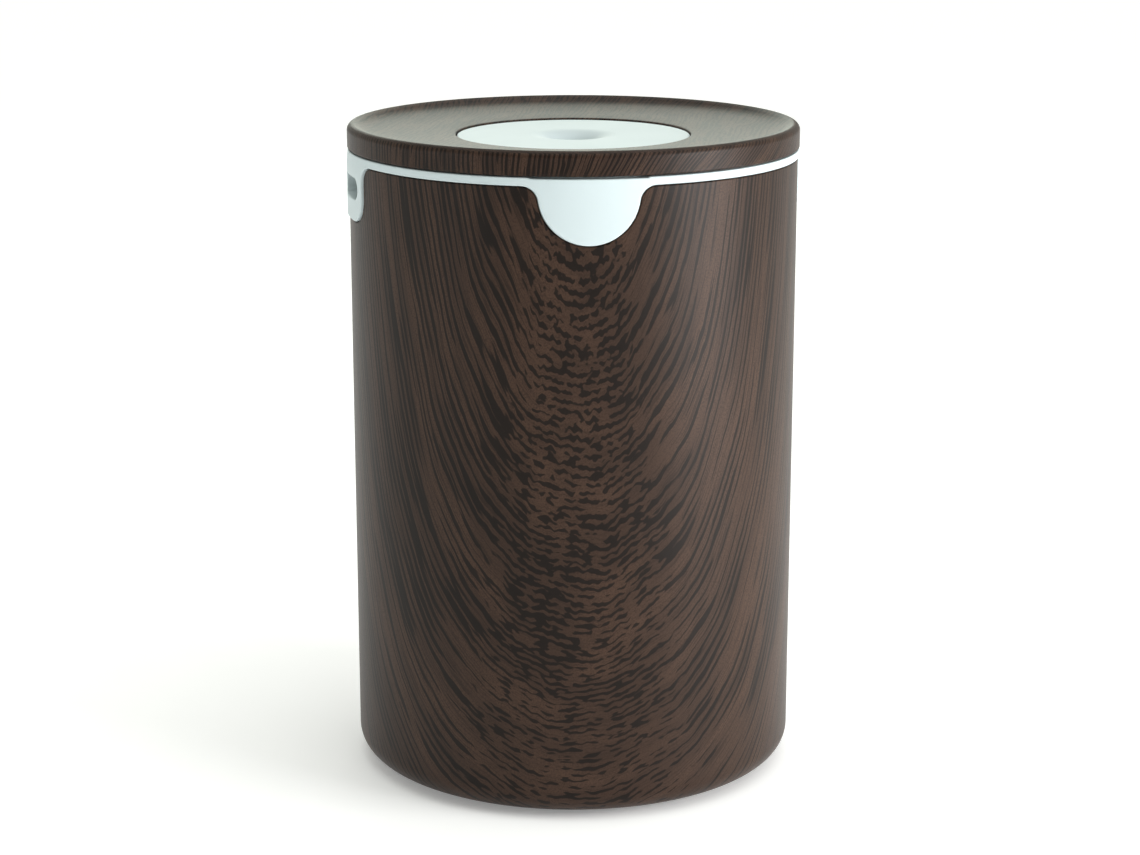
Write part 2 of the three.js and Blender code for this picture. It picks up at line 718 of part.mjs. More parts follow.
function mistChimney() {
  const collarTop = TANK_BOTTOM - GAP;
  return turned([
    [CHIMNEY_INNER, CHIMNEY_BOTTOM],
    [CHIMNEY_OUTER, CHIMNEY_BOTTOM],
    [CHIMNEY_OUTER, collarTop - 3],
    [18.6, collarTop - 3],
    [18.6, collarTop],
    [CHIMNEY_OUTER, collarTop],
    [CHIMNEY_OUTER, CHIMNEY_TOP],
    [CHIMNEY_INNER, CHIMNEY_TOP],
  ], MEDIUM);
}

// ---------------------------------------------------------------- tank valve

const CAP = { bottom: 71.5, floor: 73.9, inner: 19.6, outer: 21.6, top: 84 };
const GUIDE = { radius: 14.5, low: 92, high: 94 };

function valveCap() {
  const parts = [
    ring(CAP.inner, CAP.outer, CAP.bottom, CAP.top, MEDIUM),
    ring(6.5, CAP.inner + 0.5, CAP.bottom, CAP.floor, MEDIUM),
    ring(2.7, GUIDE.radius, GUIDE.low, GUIDE.high, MEDIUM),
  ];
  for (const degrees of [0, 120, 240]) {
    const leg = block([12, 14], [-2, 2], [CAP.floor - 0.5, GUIDE.low + 0.5]);
    parts.push(leg.rotate([0, 0, degrees]));
  }
  for (let i = 0; i < 6; i += 1) {
    const grip = block([CAP.outer - 0.5, CAP.outer + 1], [-1.5, 1.5], [CAP.bottom, CAP.top - 2]);
    parts.push(grip.rotate([0, 0, 60 * i]));
  }
  return moved(joined(parts), VALVE_X, 0, 0);
}

const STEM = 2.3;
const SEAT = { low: 78.2, high: 80.2, radius: 9 };

function valvePlunger() {
  return turned([
    [0, 69.9],
    [STEM - 0.6, 69.9],
    [STEM, 70.5],
    [STEM, SEAT.high],
    [8, SEAT.high],
    [8, SEAT.high + 2],
    [STEM, SEAT.high + 2],
    [STEM, 97],
    [0, 97],
  ], SMALL, VALVE_X);
}

const SPRING = { radius: 5, wire: 0.4, turns: 4 };

class Helix extends THREE.Curve {
  getPoint(t) {
    const low = SEAT.high + 2 + GAP + SPRING.wire;
    const high = GUIDE.low - GAP - SPRING.wire;
    const angle = 2 * Math.PI * SPRING.turns * t;
    const x = VALVE_X + SPRING.radius * Math.cos(angle);
    const y = SPRING.radius * Math.sin(angle);
    return new THREE.Vector3(x, y, low + (high - low) * t);
  }
}

function valveSpring() {
  const section = new THREE.Shape();
  section.absarc(0, 0, SPRING.wire, 0, 2 * Math.PI, false);
  const geometry = new THREE.ExtrudeGeometry(section, {
    steps: 40,
    curveSegments: 2,
    extrudePath: new Helix(),
  });
  return solidFrom(geometry);
}

// ---------------------------------------------------------------- lid

const LID_SKIRT_INNER = 83.6;
const LINER_TOP = 243;
const LID_CORNER = 2.5;

function lidDish() {
  return turned([
    [LID_RADIUS, LID_BOTTOM],
    ...arc(LID_RADIUS - LID_CORNER, LID_TOP - LID_CORNER, LID_CORNER, 0, 90, 3),
    [80.5, 249.1],
    [76, 247.9],
    [62, 246.7],
    [INSERT_RADIUS + GAP, 245.9],
    [INSERT_RADIUS + GAP, LINER_TOP + GAP],
    [47, LINER_TOP + GAP],
    [47, 244],
    [74, 245.4],
    [LID_SKIRT_INNER, 247.5],
    [LID_SKIRT_INNER, LID_BOTTOM],
  ], LARGE);
}

function lidLiner() {
  const underside = RIM_TOP + GAP;
  return turned([
    [19, LINER_TOP],
    [83.2, LINER_TOP],
    [83.2, underside],
    [78.8, underside],
    [78.8, 239],
    [76.9, 239],
    [76.9, underside - 0.2],
    [19, underside - 0.2],
  ], LARGE);
}

function nozzleInsert() {
  const bottom = LINER_TOP + GAP;
  return turned([
    [INSERT_RADIUS, bottom],
    [INSERT_RADIUS, INSERT_TOP - 0.3],
    [INSERT_RADIUS - 0.3, INSERT_TOP],
    [14.5, INSERT_TOP],
    [12.6, INSERT_TOP - 0.7],
    [9.8, INSERT_TOP - 4],
    [OUTLET_RADIUS, INSERT_TOP - 7.8],
    [OUTLET_RADIUS, 226],
    [OUTLET_RADIUS + 2, 226],
    [OUTLET_RADIUS + 2, 235],
    [14.5, 241.2],
    [17, bottom],
  ], 32);
}

// ---------------------------------------------------------------- assembly

part('outer_shell', outerShell(), WOOD_LOOK);
part('base_deck', baseDeck(), INNER_WHITE);
part('base_plate', basePlate(), BLACK);
FOOT_ANGLES.forEach((degrees, i) => part(`foot_${i + 1}`, foot(degrees), RUBBER));
DECK_BOSS_ANGLES.forEach((degrees, i) => {
  const [x, y] = onCircle(DECK_BOSS_RADIUS, degrees);
  part(`base_plate_screw_${i + 1}`, screw(x, y, FOOT_HEIGHT + 0.2, 1.2, 3.2, 1.2, 18), STEEL);
});

const FAN_CORE_BOTTOM = SPIDER_TOP + GAP;
const FAN_CORE_TOP = 19.8;
part('air_filter', rod(22, PLATE_TOP + GAP, 8.6, MEDIUM, FAN_X, 0), FOAM);
part('fan_housing', fanHousing(), BLACK);
part('fan_motor', ring(2.7, 8.5, FAN_CORE_BOTTOM, FAN_CORE_TOP, MEDIUM, FAN_X, 0), COPPER);
part('fan_bearing', ring(BEARING_INNER, 2.5, FAN_CORE_BOTTOM, FAN_CORE_TOP, TINY, FAN_X, 0), BRASS);
part('fan_rotor', fanRotor(), BLACK);
part('fan_shaft', rod(SHAFT_RADIUS, FAN_CORE_BOTTOM + GAP, 21.8, TINY, FAN_X, 0), STEEL);
[-1, 1].forEach((side, i) => {
  const [x, y] = [FAN_X + side * FAN_CORNER, side * FAN_CORNER];
  part(`fan_screw_${i + 1}`, screw(x, y, FAN_TOP + 0.1, 1.4, 2.6, 1.2, 5), STEEL);
});
part('duct_hood', ductHood(), INNER_WHITE);

part('transducer_disc', rod(10, 55, 56.2, MEDIUM), BRASS);
part('transducer_seal', turned(SEAL_PROFILE, MEDIUM), SILICONE);
part('transducer_holder', transducerHolder(), ALUMINIUM);
[-1, 1].forEach((side, i) => {
  part(`transducer_screw_${i + 1}`, screw(0, side * HOLDER_SCREW_Y, 44.9, 1.4, 2.6, 1, 55), STEEL);
});

part('driver_board', driverBoard(), BOARD_GREEN);
part('heat_sink', heatSink(), ALUMINIUM);
part('driver_coil', ring(3, 8, BOARD_TOP + GAP, 21, SMALL, 34, 8), COPPER);
[-1, 1].forEach((side, i) => {
  const [x, y] = boardCorner(side, side);
  part(`board_screw_${i + 1}`, screw(x, y, BOARD_TOP + 0.1, 1.4, 2.5, 1.1, 5), STEEL);
});
part('rear_board', block([-12.2, 12.2], REAR_BOARD_Y, [14, 56.6]), BOARD_GREEN);
part('dc_jack', dcJack(), BLACK);
part('jack_pin', crossRod(1.05, 72.7, 83.4, TINY, 0, JACK_Z), BRASS);
part('tact_switch', tactSwitch(), BLACK);
part('power_button', powerButton(), WHITE);

part('water_float', waterFloat(), WHITE);
part('float_magnet', ring(5.5, 7.1, 66.6, 69.6, 20, FLOAT_X, FLOAT_Y), STEEL);
part('float_cap', rod(6.4, 80, 81.8, SMALL, FLOAT_X, FLOAT_Y), INNER_WHITE);
part('reed_switch', rod(1.6, 62, 76, TINY, FLOAT_X, FLOAT_Y), BLACK);

// The routes of the leads between the boards, the fan, the mist disc and the level switch.
const REAR_BOARD_ROUTE = [[4, 67, 18], [8, 56, 16], [18, 38, 17], [25, 24, 18], [28, 17, 15.6]];
const TRANSDUCER_ROUTE = [[26, -2, 14.2], [21, -2, 24], [10, -1, 36], [2, 0, 46], [0, 0, 54.6]];
const FAN_ROUTE = [[-16.5, -14, 18], [-8, -20, 14], [6, -24, 13], [22, -24, 14.9]];
const SENSOR_ROUTE = [[FLOAT_X, FLOAT_Y, 61.6], [18, 45, 50], [22, 32, 32], [32, 20, 20], [38, 17, 14.2]];
part('rear_board_lead', lead(REAR_BOARD_ROUTE, 1.2), GREY_WIRE);
part('transducer_lead', lead(TRANSDUCER_ROUTE, 0.9), RED_WIRE);
part('fan_lead', lead(FAN_ROUTE, 0.9), GREY_WIRE);
part('sensor_lead', lead(SENSOR_ROUTE, 0.8), GREY_WIRE);

part('tank_body', tankBody(), WHITE);
part('tank_rim', tankRim(), WHITE);
part('left_grip', toLeft(gripPlate()), WHITE);
part('right_grip', toRight(gripPlate()), WHITE);
part('left_finger_cup', toLeft(fingerCup()), WHITE);
part('right_finger_cup', toRight(fingerCup()), WHITE);
part('mist_chimney', mistChimney(), WHITE);
part('chimney_nut', ring(NUT.inner, NUT.outer, NUT.low, NUT.high, MEDIUM), WHITE);
part('chimney_seal', ring(17.7, 23.4, TANK_FLOOR, NUT.low - GAP, MEDIUM), SILICONE);
part('valve_cap', valveCap(), INNER_WHITE);
part('cap_seal', ring(16.8, 19.3, CAP.floor + 0.1, NECK.bottom - 0.1, MEDIUM, VALVE_X, 0), SILICONE);
part('valve_plunger', valvePlunger(), WHITE);
part('valve_seal', ring(STEM + 0.1, SEAT.radius, SEAT.low, SEAT.high, SMALL, VALVE_X, 0), SILICONE);
part('valve_spring', valveSpring(), STEEL);

part('lid_dish', lidDish(), WOOD_LOOK);
part('lid_liner', lidLiner(), INNER_WHITE);
part('nozzle_insert', nozzleInsert(), WHITE);

export default model;
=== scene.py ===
"""Looks of the cool mist humidifier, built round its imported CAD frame.

Lengths are in millimetres unless they are marked, in the frame of the CAD: +Z up, the origin on the
floor under the middle of the round body, and the front, with the half-round tab, towards -Y.
An azimuth is an angle about Z, measured from the front towards +X.

The pieces that can be seen are built here as fine meshes: shell, rim and tabs, tank, finger cups,
chimney, lid and insert, feet, button and jack. The parts inside keep their CAD shape and get a
material. The floor, the lights and the camera come last.
"""

import math

import bmesh
import bpy
import numpy as np
from mathutils import Matrix, Vector
from mathutils.geometry import delaunay_2d_cdt


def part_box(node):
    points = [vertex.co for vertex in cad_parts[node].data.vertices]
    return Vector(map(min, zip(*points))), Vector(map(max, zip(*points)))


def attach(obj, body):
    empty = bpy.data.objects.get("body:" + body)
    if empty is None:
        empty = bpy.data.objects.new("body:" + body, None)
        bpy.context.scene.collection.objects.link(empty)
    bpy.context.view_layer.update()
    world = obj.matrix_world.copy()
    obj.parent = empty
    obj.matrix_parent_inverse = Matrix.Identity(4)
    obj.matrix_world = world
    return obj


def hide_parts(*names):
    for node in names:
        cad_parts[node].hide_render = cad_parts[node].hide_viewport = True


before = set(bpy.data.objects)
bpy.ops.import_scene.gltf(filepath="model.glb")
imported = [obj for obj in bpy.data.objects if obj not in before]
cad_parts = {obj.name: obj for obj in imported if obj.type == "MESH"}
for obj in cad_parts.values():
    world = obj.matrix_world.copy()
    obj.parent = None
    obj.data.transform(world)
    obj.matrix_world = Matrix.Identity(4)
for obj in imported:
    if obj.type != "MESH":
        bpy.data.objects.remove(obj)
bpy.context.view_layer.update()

MM = 0.001


def box_mm(node):
    """Lowest and highest corner of a CAD node, in millimetres."""
    low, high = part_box(node)
    return low / MM, high / MM


# ---------------------------------------------------------------- dimensions

SHELL_LOW, SHELL_HIGH = box_mm("outer_shell")
RIM_HIGH = box_mm("tank_rim")[1]
GRIP_LOW, GRIP_HIGH = box_mm("right_grip")
TANK_HIGH = box_mm("tank_body")[1]
DISH_LOW, DISH_HIGH = box_mm("lid_dish")
LINER_LOW, LINER_HIGH = box_mm("lid_liner")
INSERT_LOW, INSERT_HIGH = box_mm("nozzle_insert")
CHIMNEY_LOW, CHIMNEY_HIGH = box_mm("mist_chimney")
NUT_LOW, NUT_HIGH = box_mm("chimney_nut")

# Clearance between neighbours, wall thickness, and the rounding of most edges.
GAP = 0.3
WALL = 2.4
EDGE = 0.5
# A closed profile comes this near its axis instead of onto it.
AXIS = 0.01

SHELL_RADIUS = SHELL_HIGH.x
SHELL_INNER = SHELL_RADIUS - WALL
SHELL_TOP = SHELL_HIGH.z
SHELL_BOTTOM = SHELL_LOW.z
BOTTOM_FILLET = 9.4
WALL_BOTTOM = SHELL_BOTTOM + BOTTOM_FILLET
# The base plate sits in a hole in the shell's bottom, against a lip that reaches further in.
PLATE_HOLE = 73.5
LIP_RADIUS = 70.5
LIP_LOW = SHELL_BOTTOM + 2.7
LIP_HIGH = SHELL_BOTTOM + 4.9
BOTTOM_CHAMFER = 4.5
# The tank stands on a ledge inside the shell.
LEDGE_TOP = 84.2
LEDGE_RADIUS = 79.5
LEDGE_ROOT = 6

TANK_RADIUS = TANK_HIGH.x
TANK_INNER = TANK_RADIUS - 2.2
TANK_BOTTOM = 87.2
TANK_FLOOR = TANK_BOTTOM + WALL
TANK_FILLET = 5
TANK_BORE = 17.6
RIM_RADIUS = RIM_HIGH.y
RIM_INNER = TANK_RADIUS + GAP
RIM_TOP = RIM_HIGH.z
SIDE_TAB_PROUD = GRIP_HIGH.x - RIM_RADIUS

FRONT_TAB_RADIUS = 18.5
FRONT_TAB_Z = 235.3
FRONT_SHOULDER = 5.75
SIDE_TAB_HALF = 18.5
SIDE_TAB_BOTTOM = GRIP_LOW.z - GAP
SIDE_TAB_CORNER = 10
SIDE_SHOULDER = 6
SLOT_Z = 228.6
SLOT_RADIUS = 4
SLOT_HALF_LENGTH = 14
# The shallow notch over the front tab, where a fingertip lifts the lid.
PRY_HALF = 20.8
PRY_DEPTH = 0.35
PRY_BEVEL = 0.6
# The closed cup behind each slot, which keeps fingers out of the water.
CUP_HALF = 16
CUP_BOTTOM = 219
CUP_TOP = 236
CUP_WALL = 2
CUP_DEPTH = 63
CUP_FILLET = 3.5
CUP_END_FILLET = 3

CHIMNEY_INNER = 15
CHIMNEY_OUTER = 17.2
COLLAR_RADIUS = CHIMNEY_HIGH.x
COLLAR_TOP = TANK_BOTTOM - GAP
COLLAR_HEIGHT = 3
CHIMNEY_LIP = 0.9
NUT_INNER = 17.5

DISH_CORNER = 2.5
DISH_MOUTH = INSERT_HIGH.x + GAP
INSERT_SEAT = LINER_HIGH.z + GAP
# Radius and height down the dish, round the edge of its mouth, and along its underside.
DISH_SLOPE = [
    (82.0, 249.9), (80.2, 249.0), (77.6, 248.2), (73, 247.6), (62, 246.8), (52, 246.3),
    (DISH_MOUTH + 0.8, 245.9),
]
DISH_EDGE = [(DISH_MOUTH + 0.25, 245.75), (DISH_MOUTH, 245.4), (DISH_MOUTH, INSERT_SEAT)]
DISH_UNDERSIDE = [(47, INSERT_SEAT), (47, 244), (74, 245.4), (83.6, 247.5), (83.6, DISH_LOW.z)]
# The crater that the mist comes out of, as radius and depth, and the pipe below it.
CRATER_START = 30
CRATER = [(16.5, 0), (14.2, 0.2), (12.0, 0.7), (9.8, 1.6), (7.8, 3.0), (6.4, 5.0), (6.0, 7.5)]
PIPE_BORE = 6
PIPE_OUTER = 8
PIPE_FLARE = [(PIPE_OUTER, 235), (14.5, 241.2), (17, INSERT_SEAT)]
LINER_BORE = 19
LINER_SKIRT_OUTER = 78.8
LINER_SKIRT_INNER = 76.9
LINER_UNDERSIDE = RIM_TOP + 0.1

FOOT_RADIUS = 7
FOOT_FILLET = 0.8
BUTTON_Z = 46
BUTTON_HOLE = 7.35
BUTTON_RADIUS = 7
BUTTON_STEM = 2.2
# The button's flange stays behind the wall. BACK and FACE are distances from the part's axis.
FLANGE_RADIUS = 8.6
FLANGE_BACK = 80.2
FLANGE_FACE = 81.8
# Radius and depth of the button's domed face.
BUTTON_DOME = [(BUTTON_RADIUS, 1.4), (6.7, 0.7), (5.2, 0.3), (2.6, 0.06), (AXIS, 0)]
JACK_Z = 22
JACK_WINDOW_HALF_WIDTH = 6.4
JACK_WINDOW_HALF_HEIGHT = 5.4
JACK_WINDOW_FILLET = 1.2
JACK_FILLET = 1.0
# The socket's bore and the hole that holds its pin. A FLOOR is its distance from the part's axis.
SOCKET_RADIUS = 3.15
SOCKET_FLOOR = 75.3
PIN_HOLE_RADIUS = 1.4
PIN_HOLE_FLOOR = 72.5

TURN = 2 * math.pi
# The two side tabs face each other, but are not quite square to the front tab.
SIDE_TAB_TURN = 8.5
LEFT = math.radians(SIDE_TAB_TURN - 90)
RIGHT = math.radians(SIDE_TAB_TURN + 90)
REAR = -TURN / 2
# The flat map of the round wall is cut open here, clear of every tab and hole.
SEAM = math.radians(135)
# Spacing of the mesh round the wall and up it, and how far it keeps from an outline.
COLUMN = math.radians(1.5)
ROW = 5.0
CLEAR_OF_OUTLINE = 0.7
EDGE_STEPS = 5
# Vertices within WELD of each other become one, and edges under SLIVER go. Both are in metres.
WELD = 2e-6
SLIVER = 1e-7
# An edge that bends by more than this, in degrees, stays sharp.
SHARP_ANGLE = 40


# ---------------------------------------------------------------- flat outlines

def arc(centre_x, centre_z, radius, start, end, steps):
    """Points of an arc from start to end degrees."""
    points = []
    for i in range(steps + 1):
        angle = math.radians(start + (end - start) * i / steps)
        points.append((centre_x + radius * math.cos(angle), centre_z + radius * math.sin(angle)))
    return points


def line(start, end, steps):
    """Points between two points, the ends left out."""
    return [
        tuple(a + (b - a) * i / steps for a, b in zip(start, end))
        for i in range(1, steps)
    ]


def rounded(corners, steps=6):
    """A closed outline of (x, z, fillet) corners, each corner turned into an arc with that radius."""
    outline = []
    for i, (x, z, fillet) in enumerate(corners):
        here = Vector((x, z))
        if fillet == 0:
            outline.append((x, z))
            continue
        back = (Vector(corners[i - 1][:2]) - here).normalized()
        ahead = (Vector(corners[(i + 1) % len(corners)][:2]) - here).normalized()
        half = back.angle(ahead) / 2
        centre = here + (back + ahead).normalized() * fillet / math.sin(half)
        spoke = here + back * fillet / math.tan(half) - centre
        sweep = spoke.angle_signed(here + ahead * fillet / math.tan(half) - centre)
        for k in range(steps + 1):
            point = centre + Matrix.Rotation(-sweep * k / steps, 2) @ spoke
            outline.append((point.x, point.y))
    return outline


def smooth(points, steps):
    """Points of a smooth curve through the given points."""
    ends = [points[0], *points, points[-1]]
    curve = []
    for p0, p1, p2, p3 in zip(ends, ends[1:], ends[2:], ends[3:]):
        for k in range(steps):
            t = k / steps
            curve.append(tuple(
                0.5 * (2 * b + (c - a) * t + (2 * a - 5 * b + 4 * c - d) * t * t
                       + (3 * b - a - 3 * c + d) * t ** 3)
                for a, b, c, d in zip(p0, p1, p2, p3)
            ))
    return [*curve, points[-1]]


def front_tab(inset):
    """The half-round front tab from its left shoulder to its right one, drawn in by inset."""
    shoulder_z = SHELL_TOP - FRONT_SHOULDER
    reach = FRONT_TAB_RADIUS + FRONT_SHOULDER
    drop = FRONT_TAB_Z - shoulder_z
    shoulder_x = math.sqrt(reach ** 2 - drop ** 2)
    tilt = math.degrees(math.asin(drop / reach))
    shoulder = FRONT_SHOULDER + inset
    return [
        *arc(-shoulder_x, shoulder_z, shoulder, 90, tilt, 10),
        *arc(0, FRONT_TAB_Z, FRONT_TAB_RADIUS - inset, 180 + tilt, 360 - tilt, 48)[1:-1],
        *arc(shoulder_x, shoulder_z, shoulder, 180 - tilt, 90, 10),
    ]


def side_tab(inset):
    """A side tab from its left shoulder to its right one, drawn in by inset."""
    shoulder_x = SIDE_TAB_HALF + SIDE_SHOULDER
    shoulder_z = SHELL_TOP - SIDE_SHOULDER
    corner_x = SIDE_TAB_HALF - SIDE_TAB_CORNER
    corner_z = SIDE_TAB_BOTTOM + SIDE_TAB_CORNER
    corner = SIDE_TAB_CORNER - inset
    left = [
        *arc(-shoulder_x, shoulder_z, SIDE_SHOULDER + inset, 90, 0, 12),
        *line((inset - SIDE_TAB_HALF, shoulder_z), (inset - SIDE_TAB_HALF, corner_z), 4),
        *arc(-corner_x, corner_z, corner, 180, 270, 14),
    ]
    bottom = line((-corner_x, corner_z - corner), (corner_x, corner_z - corner), 20)
    return [*left, *bottom, *[(-x, z) for x, z in reversed(left)]]


def at(centre, outline):
    """An outline drawn on the tangent plane at an azimuth."""
    return [(centre, x, z) for x, z in outline]


def level(first, last, z):
    """Points of a level line between two azimuths, the ends left out."""
    start = math.floor(first / COLUMN + 0.5)
    end = math.ceil(last / COLUMN - 0.5)
    return [(i * COLUMN, 0, z) for i in range(start + 1, end)]


def tab_line(inset):
    """The parting line of rim and shell once round, over the seam at both ends."""
    front_reach = math.asin(front_tab(0)[-1][0] / SHELL_RADIUS)
    side_reach = math.asin(side_tab(0)[-1][0] / SHELL_RADIUS)
    z = SHELL_TOP + inset
    return [
        (SEAM - TURN, 0, z),
        *level(SEAM - TURN, LEFT - side_reach, z),
        *at(LEFT, side_tab(inset)),
        *level(LEFT + side_reach, -front_reach, z),
        *at(0, front_tab(inset)),
        *level(front_reach, RIGHT - side_reach, z),
        *at(RIGHT, side_tab(inset)),
        *level(RIGHT + side_reach, SEAM, z),
        (SEAM, 0, z),
    ]


def level_line(z):
    """A level line once round, over the seam at both ends."""
    return [(SEAM - TURN, 0, z), *level(SEAM - TURN, SEAM, z), (SEAM, 0, z)]


def rim_top_line(inset):
    """The top edge of the rim, with the shallow pry notch over the front tab."""
    z = RIM_TOP - inset
    low = z - PRY_DEPTH
    half = PRY_HALF + inset
    reach = math.asin((half + PRY_BEVEL) / RIM_RADIUS)
    notch = [
        (-half - PRY_BEVEL, z),
        (-half, low),
        *line((-half, low), (half, low), 24),
        (half, low),
        (half + PRY_BEVEL, z),
    ]
    return [
        (SEAM - TURN, 0, z),
        *level(SEAM - TURN, -reach, z),
        *at(0, notch),
        *level(reach, SEAM, z),
        (SEAM, 0, z),
    ]


def round_hole(centre, z, radius):
    """A round hole's outline, as a function of how far it is drawn out into the wall."""
    return lambda inset: at(centre, arc(0, z, radius + inset, 0, 360, 48)[:-1])


def long_hole(centre, z, half_length, radius):
    """A level slot with round ends, given as round_hole gives its outline."""
    def outline(inset):
        r = radius + inset
        straight = half_length - radius
        right = arc(straight, z, r, -90, 90, 16)
        top = line((straight, z + r), (-straight, z + r), 20)
        bottom = line((-straight, z - r), (straight, z - r), 20)
        return at(centre, [*right, *top, *[(-x, 2 * z - b) for x, b in right], *bottom])
    return outline


def square_hole(centre, half_width, z_low, z_high, fillet):
    """A window with rounded corners, given as round_hole gives its outline."""
    def outline(inset):
        left, right = -half_width - inset, half_width + inset
        low, high = z_low - inset, z_high + inset
        r = fillet + inset
        spacing = 2.2
        sides = max(2, round(2 * half_width / spacing))
        return at(centre, [
            *arc(right - r, low + r, r, -90, 0, 5),
            *line((right, low + r), (right, high - r), 6),
            *arc(right - r, high - r, r, 0, 90, 5),
            *line((right - r, high), (left + r, high), sides),
            *arc(left + r, high - r, r, 90, 180, 5),
            *line((left, high - r), (left, low + r), 6),
            *arc(left + r, low + r, r, 180, 270, 5),
            *line((left + r, low), (right - r, low), sides),
        ])
    return outline


# ---------------------------------------------------------------- mesh building

def on_wall(point, radius):
    """Where a point of a wrapped outline lies on the wall of that radius, in metres."""
    centre, x, z = point
    azimuth = centre + math.asin(x / radius)
    return Vector((radius * math.sin(azimuth), -radius * math.cos(azimuth), z)) * MM


def bridge(bm, loops, closed=True):
    """Quads between each two neighbouring loops of vertices."""
    for near, far in zip(loops, loops[1:]):
        count = len(near)
        for i in range(count if closed else count - 1):
            j = (i + 1) % count
            bm.faces.new([near[i], near[j], far[j], far[i]])


def add_loop(bm, points):
    """New vertices at the points, in their order."""
    return [bm.verts.new(p) for p in points]


def lathe(bm, profile, closed=True, centre=(0, 0), first=0.0, columns=240):
    """Turns an outline of (radius, z) points about a vertical axis."""
    rings = []
    for radius, z in profile:
        points = []
        for i in range(columns):
            azimuth = first + TURN * i / columns
            x = centre[0] + radius * math.sin(azimuth)
            y = centre[1] - radius * math.cos(azimuth)
            points.append(Vector((x, y, z)) * MM)
        rings.append(add_loop(bm, points))
    bridge(bm, [*rings, rings[0]] if closed else rings)


def inside(points, loops):
    """Which points lie inside the loops, by the even-odd rule."""
    result = np.zeros(len(points), bool)
    px, pz = points[:, 0], points[:, 1]
    for loop in loops:
        for (ax, az), (bx, bz) in zip(loop, loop[1:] + loop[:1]):
            if az == bz:
                continue
            crosses = (az > pz) != (bz > pz)
            result ^= crosses & (px < ax + (pz - az) * (bx - ax) / (bz - az))
    return result


def wrapped_plate(bm, lower, upper, holes, inner, outer, open_bottom=False):
    """A round wall between two lines, with holes, and with its edges rounded by EDGE.

    lower, upper and the holes give their outline drawn in by an inset. inner and outer give the
    wall's radii at a point. With open_bottom the lower line gets no edge, so that a lathe can go on.
    The wall is meshed on its flat map and then wrapped round at both radii.
    """
    def flat(point):
        """Distance round the wall, and height."""
        centre, x, z = point
        return ((centre + math.asin(x / RIM_RADIUS)) * RIM_RADIUS, z)

    low_line, high_line = lower(EDGE), upper(EDGE)
    z_low, z_high = low_line[0][2], high_line[0][2]
    side_rows = max(2, round((z_high - z_low) / ROW))
    side_z = [z_low + (z_high - z_low) * i / side_rows for i in range(1, side_rows)]
    left_side = [(SEAM - TURN, 0, z) for z in side_z]
    right_side = [(SEAM, 0, z) for z in side_z]
    border = [*low_line, *right_side, *high_line[::-1], *left_side[::-1]]
    loops = [border, *[hole(EDGE) for hole in holes]]
    flat_loops = [[flat(p) for p in loop] for loop in loops]

    outline_points = np.array([p for loop in flat_loops for p in loop])
    lowest = outline_points[:, 1].min()
    rows = max(2, round((z_high - lowest) / ROW))
    grid = []
    for k in range(1, rows):
        z = lowest + (z_high - lowest) * k / rows
        for i in range(round(TURN / COLUMN)):
            shift = 0.5 if k % 2 else 0.0
            grid.append((SEAM - TURN + (i + shift) * COLUMN, 0, z))
    flat_grid = np.array([flat(p) for p in grid])
    apart = np.array([
        np.hypot(outline_points[:, 0] - s, outline_points[:, 1] - z).min() for s, z in flat_grid
    ])
    kept = inside(flat_grid, flat_loops) & (apart > CLEAR_OF_OUTLINE)
    points = [p for loop in loops for p in loop] + [p for p, keep in zip(grid, kept) if keep]
    edges = []
    start = 0
    for loop in loops:
        count = len(loop)
        edges += [(start + i, start + (i + 1) % count) for i in range(count)]
        start += count
    coordinates = [Vector(flat(p)) for p in points]
    flat_vertices, _, flat_faces, origins, _, _ = delaunay_2d_cdt(coordinates, edges, [], 0, 1e-5)
    sources = [origin[0] for origin in origins]
    faces = np.array(flat_faces)
    centres = np.array([tuple(v) for v in flat_vertices])[faces].mean(axis=1)
    triangles = faces[inside(centres, flat_loops)]

    for radius, order in ((outer, 1), (inner, -1)):
        vertices = [bm.verts.new(on_wall(points[s], radius(points[s]))) for s in sources]
        for triangle in triangles:
            bm.faces.new([vertices[i] for i in triangle[::order]])

    stages = []
    for i in range(EDGE_STEPS + 1):
        angle = TURN / 4 * i / EDGE_STEPS
        stages.append((EDGE * (1 - math.sin(angle)), EDGE * (1 - math.cos(angle))))
    rims = [(upper, False), *[(hole, True) for hole in holes]]
    if not open_bottom:
        rims.append((lower, False))
    for outline, closed in rims:
        rings = []
        for inset, depth in stages:
            rings.append([on_wall(p, outer(p) - depth) for p in outline(inset)])
        for inset, depth in reversed(stages):
            rings.append([on_wall(p, inner(p) + depth) for p in outline(inset)])
        bridge(bm, [add_loop(bm, ring) for ring in rings], closed)


def make_piece(name, bm, body, nodes, material):
    """Welds a mesh, smooths it up to the sharp angle and rides it on a body in place of CAD nodes."""
    bmesh.ops.remove_doubles(bm, verts=bm.verts, dist=WELD)
    bmesh.ops.dissolve_degenerate(bm, edges=bm.edges, dist=SLIVER)
    bmesh.ops.recalc_face_normals(bm, faces=bm.faces)
    mesh = bpy.data.meshes.new(name)
    bm.to_mesh(mesh)
    bm.free()
    mesh.materials.append(material)
    mesh.shade_smooth()
    mesh.set_sharp_from_angle(angle=math.radians(SHARP_ANGLE))
    piece = bpy.data.objects.new(name, mesh)
    bpy.context.scene.collection.objects.link(piece)
    weighted = piece.modifiers.new("even_shading", "WEIGHTED_NORMAL")
    weighted.keep_sharp = True
    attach(piece, body)
    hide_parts(*nodes)


def build_lathe(name, body, node, corners, material, centre=(0, 0)):
    """A turned piece in place of one CAD node, from (radius, z, fillet) corners."""
    bm = bmesh.new()
    lathe(bm, rounded(corners), centre=centre)
    make_piece(name, bm, body, [node], material)


# ---------------------------------------------------------------- materials

